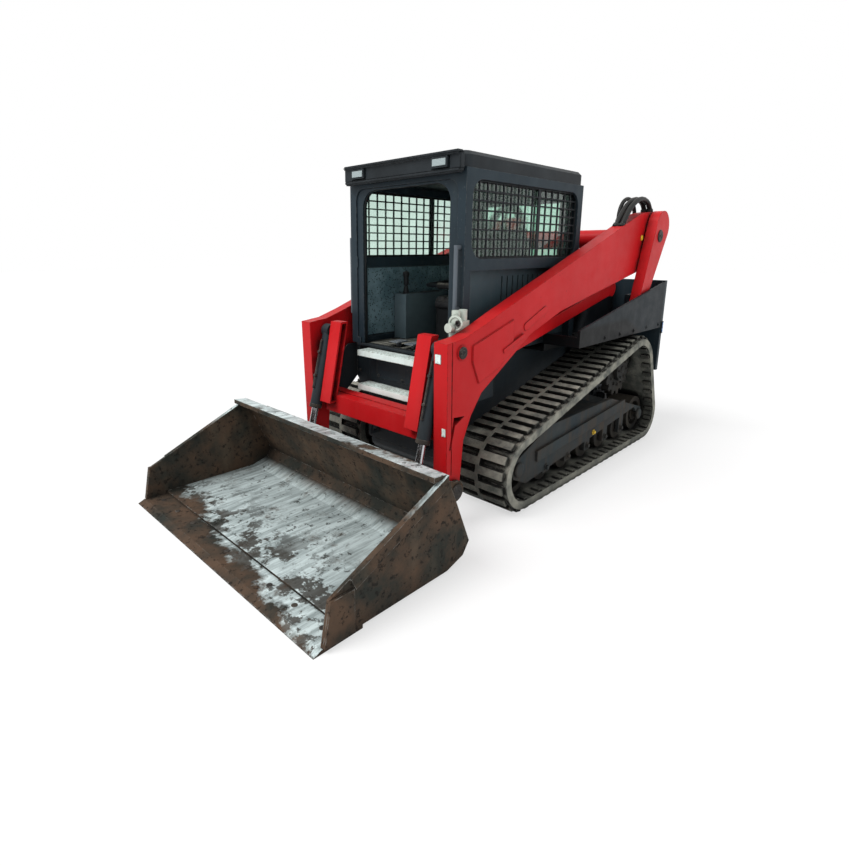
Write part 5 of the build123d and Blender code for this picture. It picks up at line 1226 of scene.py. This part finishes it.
TOP_PIPE_Y, TOP_PIPE_R = (0.578, 0.622), 0.019
TOP_PIPE_LINE = (
    (-1.225, 1.714), (-1.262, 1.757), (-1.302, 1.801), (-1.345, 1.843), (-1.392, 1.879), (-1.442, 1.907),
    (-1.496, 1.926), (-1.552, 1.935), (-1.606, 1.934), (-1.655, 1.923), (-1.694, 1.904), (-1.722, 1.878),
    (-1.738, 1.843),
)
PIPE_COLLAR = ((-0.004, 0.026), (0.020, 0.026), (0.026, 0.022), (0.030, 0.019))
top_pipes = bmesh.new()
for side in (-1, 1):
    for pipe_y in TOP_PIPE_Y:
        tube(top_pipes, [(x, side * pipe_y, z) for x, z in TOP_PIPE_LINE], TOP_PIPE_R, 14)
        for spot, after in (TOP_PIPE_LINE[:2], TOP_PIPE_LINE[:-3:-1]):
            way = Vector((after[0] - spot[0], 0.0, after[1] - spot[1]))
            turned(top_pipes, PIPE_COLLAR, (spot[0], side * pipe_y, spot[1]), way, 18)
new_piece("top_pipes", top_pipes, "boom", pipe_paint, smooth=True)


# Hydraulic couplers: a pale block at the inside of the left knee with two upright caps and a flanged face.
# Plated steel dulled to grey-green, its socket dark with oil.
pale_plating = painted_steel(
    "pale_plating", (196, 206, 196), (172, 182, 172), (120, 122, 114), (140, 134, 118), rough=0.42, dust=0.35,
    shade_and_grime=0.9,
)
dress(pale_plating, "coupler_block")
FLANGE = Vector((0.612, 0.548, 1.158))
FLANGE_ACROSS, FLANGE_UP = Vector((0.0, 0.049, 0.0)), Vector((0.0, 0.0, 0.044))
FLANGE_SIDES, FLANGE_SEAT = 40, 0.004
FLANGE_STEPS = ((0.0, 1.0), (0.006, 1.0), (0.008, 0.95), (0.008, 0.72), (FLANGE_SEAT, 0.70))
coupler_flange = bmesh.new()
rings = []
for depth, share in FLANGE_STEPS:
    middle = FLANGE + Vector((depth, 0.0, 0.0))
    rings.append(ring_of(coupler_flange, middle, FLANGE_ACROSS, FLANGE_UP, share, FLANGE_SIDES))
skin(coupler_flange, rings)
new_piece("coupler_flange", coupler_flange, "boom", pale_plating)
SOCKET = (FLANGE.x + FLANGE_SEAT, 0.570, 1.160)
SOCKET_CUP = ((0.0, 0.017), (0.010, 0.017), (0.012, 0.0153), (0.012, 0.0102), (0.004, 0.00935))
coupler_sockets = bmesh.new()
turned(coupler_sockets, SOCKET_CUP, SOCKET, (1, 0, 0), 24)
new_piece("coupler_sockets", coupler_sockets, "boom", dark_steel)


# Hitch and bucket: worn steel plate, polished by gravel on the floor, rusty up the back and muddy at the lip.
# The cutting edge and side cutters are hard plate, the edge held by bolts with flat heads.
FLOOR_UNDER, FLOOR_FROM, RIM_OVER = (0.11, 0.05), (0.98, 1.10), (0.40, 0.50)
CLODS_FROM, MUD_CLEAR, MUD_SLANT = (1.45, 1.75), (2.02, 1.96), 0.16


def worn_bucket(name):
    material, tree = new_material(name)
    edges = place_group(tree, edge_wear, Radius=0.006, Breakup=26.0)
    corners = place_group(tree, corner_shade_and_grime, Reach=0.16, Scale=6.0, Open=0.9, Shut=0.35, Even=0.2)["Mask"]
    washed = place_group(tree, rain_streak, Amount=0.3, Fineness=9.0)["Mask"]
    place = object_place(tree)
    along = split(tree, place)
    up = face_up(tree)
    blotch = noise(tree, 5.5, 7.0, 0.65)
    rust = mixed(tree, ranged(tree, noise(tree, 4.5, 6.0), 0.38, 0.62), tone(44, 46, 42), tone(84, 67, 54))
    rust = mixed(tree, washed, rust, tone(104, 94, 80))
    spots = ranged(tree, noise(tree, 34.0, 5.0, 0.7), 0.56, 0.62)
    rust = mixed(tree, times(tree, spots, 0.8), rust, tone(22, 20, 18))
    scraped = put(tree, "Mapping", {"Vector": place, "Scale": (2.0, 16.0, 8.0)})
    smears = ranged(tree, noise(tree, 2.2, 6.0, 0.6, scraped.outputs[0]), 0.36, 0.62)
    bright = mixed(tree, smears, tone(150, 162, 162), tone(216, 230, 230))
    crumbs = ranged(tree, noise(tree, 22.0, 6.0, 0.75), 0.57, 0.62)
    bright = mixed(tree, times(tree, crumbs, 0.85), bright, tone(52, 52, 48))
    nearer = plus(tree, along["X"], times(tree, blotch, 0.3))
    clods = ranged(tree, noise(tree, 7.0, 7.0, 0.68), 0.5, 0.54)
    clods = times(tree, clods, ranged(tree, nearer, *CLODS_FROM))
    bright = mixed(tree, times(tree, clods, 0.9), bright, tone(58, 52, 45))
    on_floor = times(tree, ranged(tree, up, 0.6, 0.95), ranged(tree, along["Z"], *FLOOR_UNDER))
    on_floor = times(tree, on_floor, ranged(tree, along["X"], *FLOOR_FROM))
    ragged = plus(tree, along["X"], times(tree, blotch, 0.5))
    ragged = plus(tree, ragged, times(tree, along["Y"], -MUD_SLANT))
    unmuddied = ranged(tree, ragged, *MUD_CLEAR)
    swept = times(tree, on_floor, times(tree, unmuddied, ranged(tree, blotch, 0.3, 0.42)))
    rim = times(tree, ranged(tree, up, 0.6, 0.9), ranged(tree, along["Z"], *RIM_OVER))
    shiny = total(tree, swept, times(tree, rim, ranged(tree, noise(tree, 4.0), 0.4, 0.5)))
    # Painted shade with some grime: the bucket's corners and hollows darken towards near black
    colour = mixed(tree, times(tree, corners, 0.8), rust, tone(24, 20, 16))
    colour = mixed(tree, shiny, colour, bright)
    colour = mixed(tree, times(tree, edges["Mask"], 0.5), colour, tone(170, 172, 168))
    rough = ranged(tree, shiny, 0.0, 1.0, 0.85, 0.42)
    relief = bumped(tree, 0.5, 0.005, total(tree, blotch, times(tree, crumbs, 0.3)), edges["Normal"])
    return surfaced(material, tree, {
        "Base Color": colour, "Roughness": rough, "Normal": relief, "Metallic": times(tree, shiny, 0.35),
        "Specular IOR Level": 0.15,
    })


bucket_steel = worn_bucket("bucket_steel")
dress(bucket_steel, "bucket_shell", "cutting_edge", "side_cutters", "hitch_plate")
EDGE_BOLTS, EDGE_BOLT_X, EDGE_SPREAD = 9, 1.775, 1.640
FLAT_HEAD = ((-0.004, 0.015), (0.0015, 0.015), (0.0025, 0.012))
HITCH_EAR_FACE, BUCKET_PIVOT, HITCH_HEAD_R = 0.677, (0.725, 0.235), 0.044
edge_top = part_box("cutting_edge")[1].z
bucket_bolts = bmesh.new()
for i in range(EDGE_BOLTS):
    bolt_y = EDGE_SPREAD * (i / (EDGE_BOLTS - 1) - 0.5)
    turned(bucket_bolts, FLAT_HEAD, (EDGE_BOLT_X, bolt_y, edge_top), (0, 0, 1), 20)
for side in (-1, 1):
    pin_head(bucket_bolts, (BUCKET_PIVOT[0], side * HITCH_EAR_FACE, BUCKET_PIVOT[1]), (0, side, 0), HITCH_HEAD_R)
new_piece("bucket_bolts", bucket_bolts, "bucket", dark_steel)
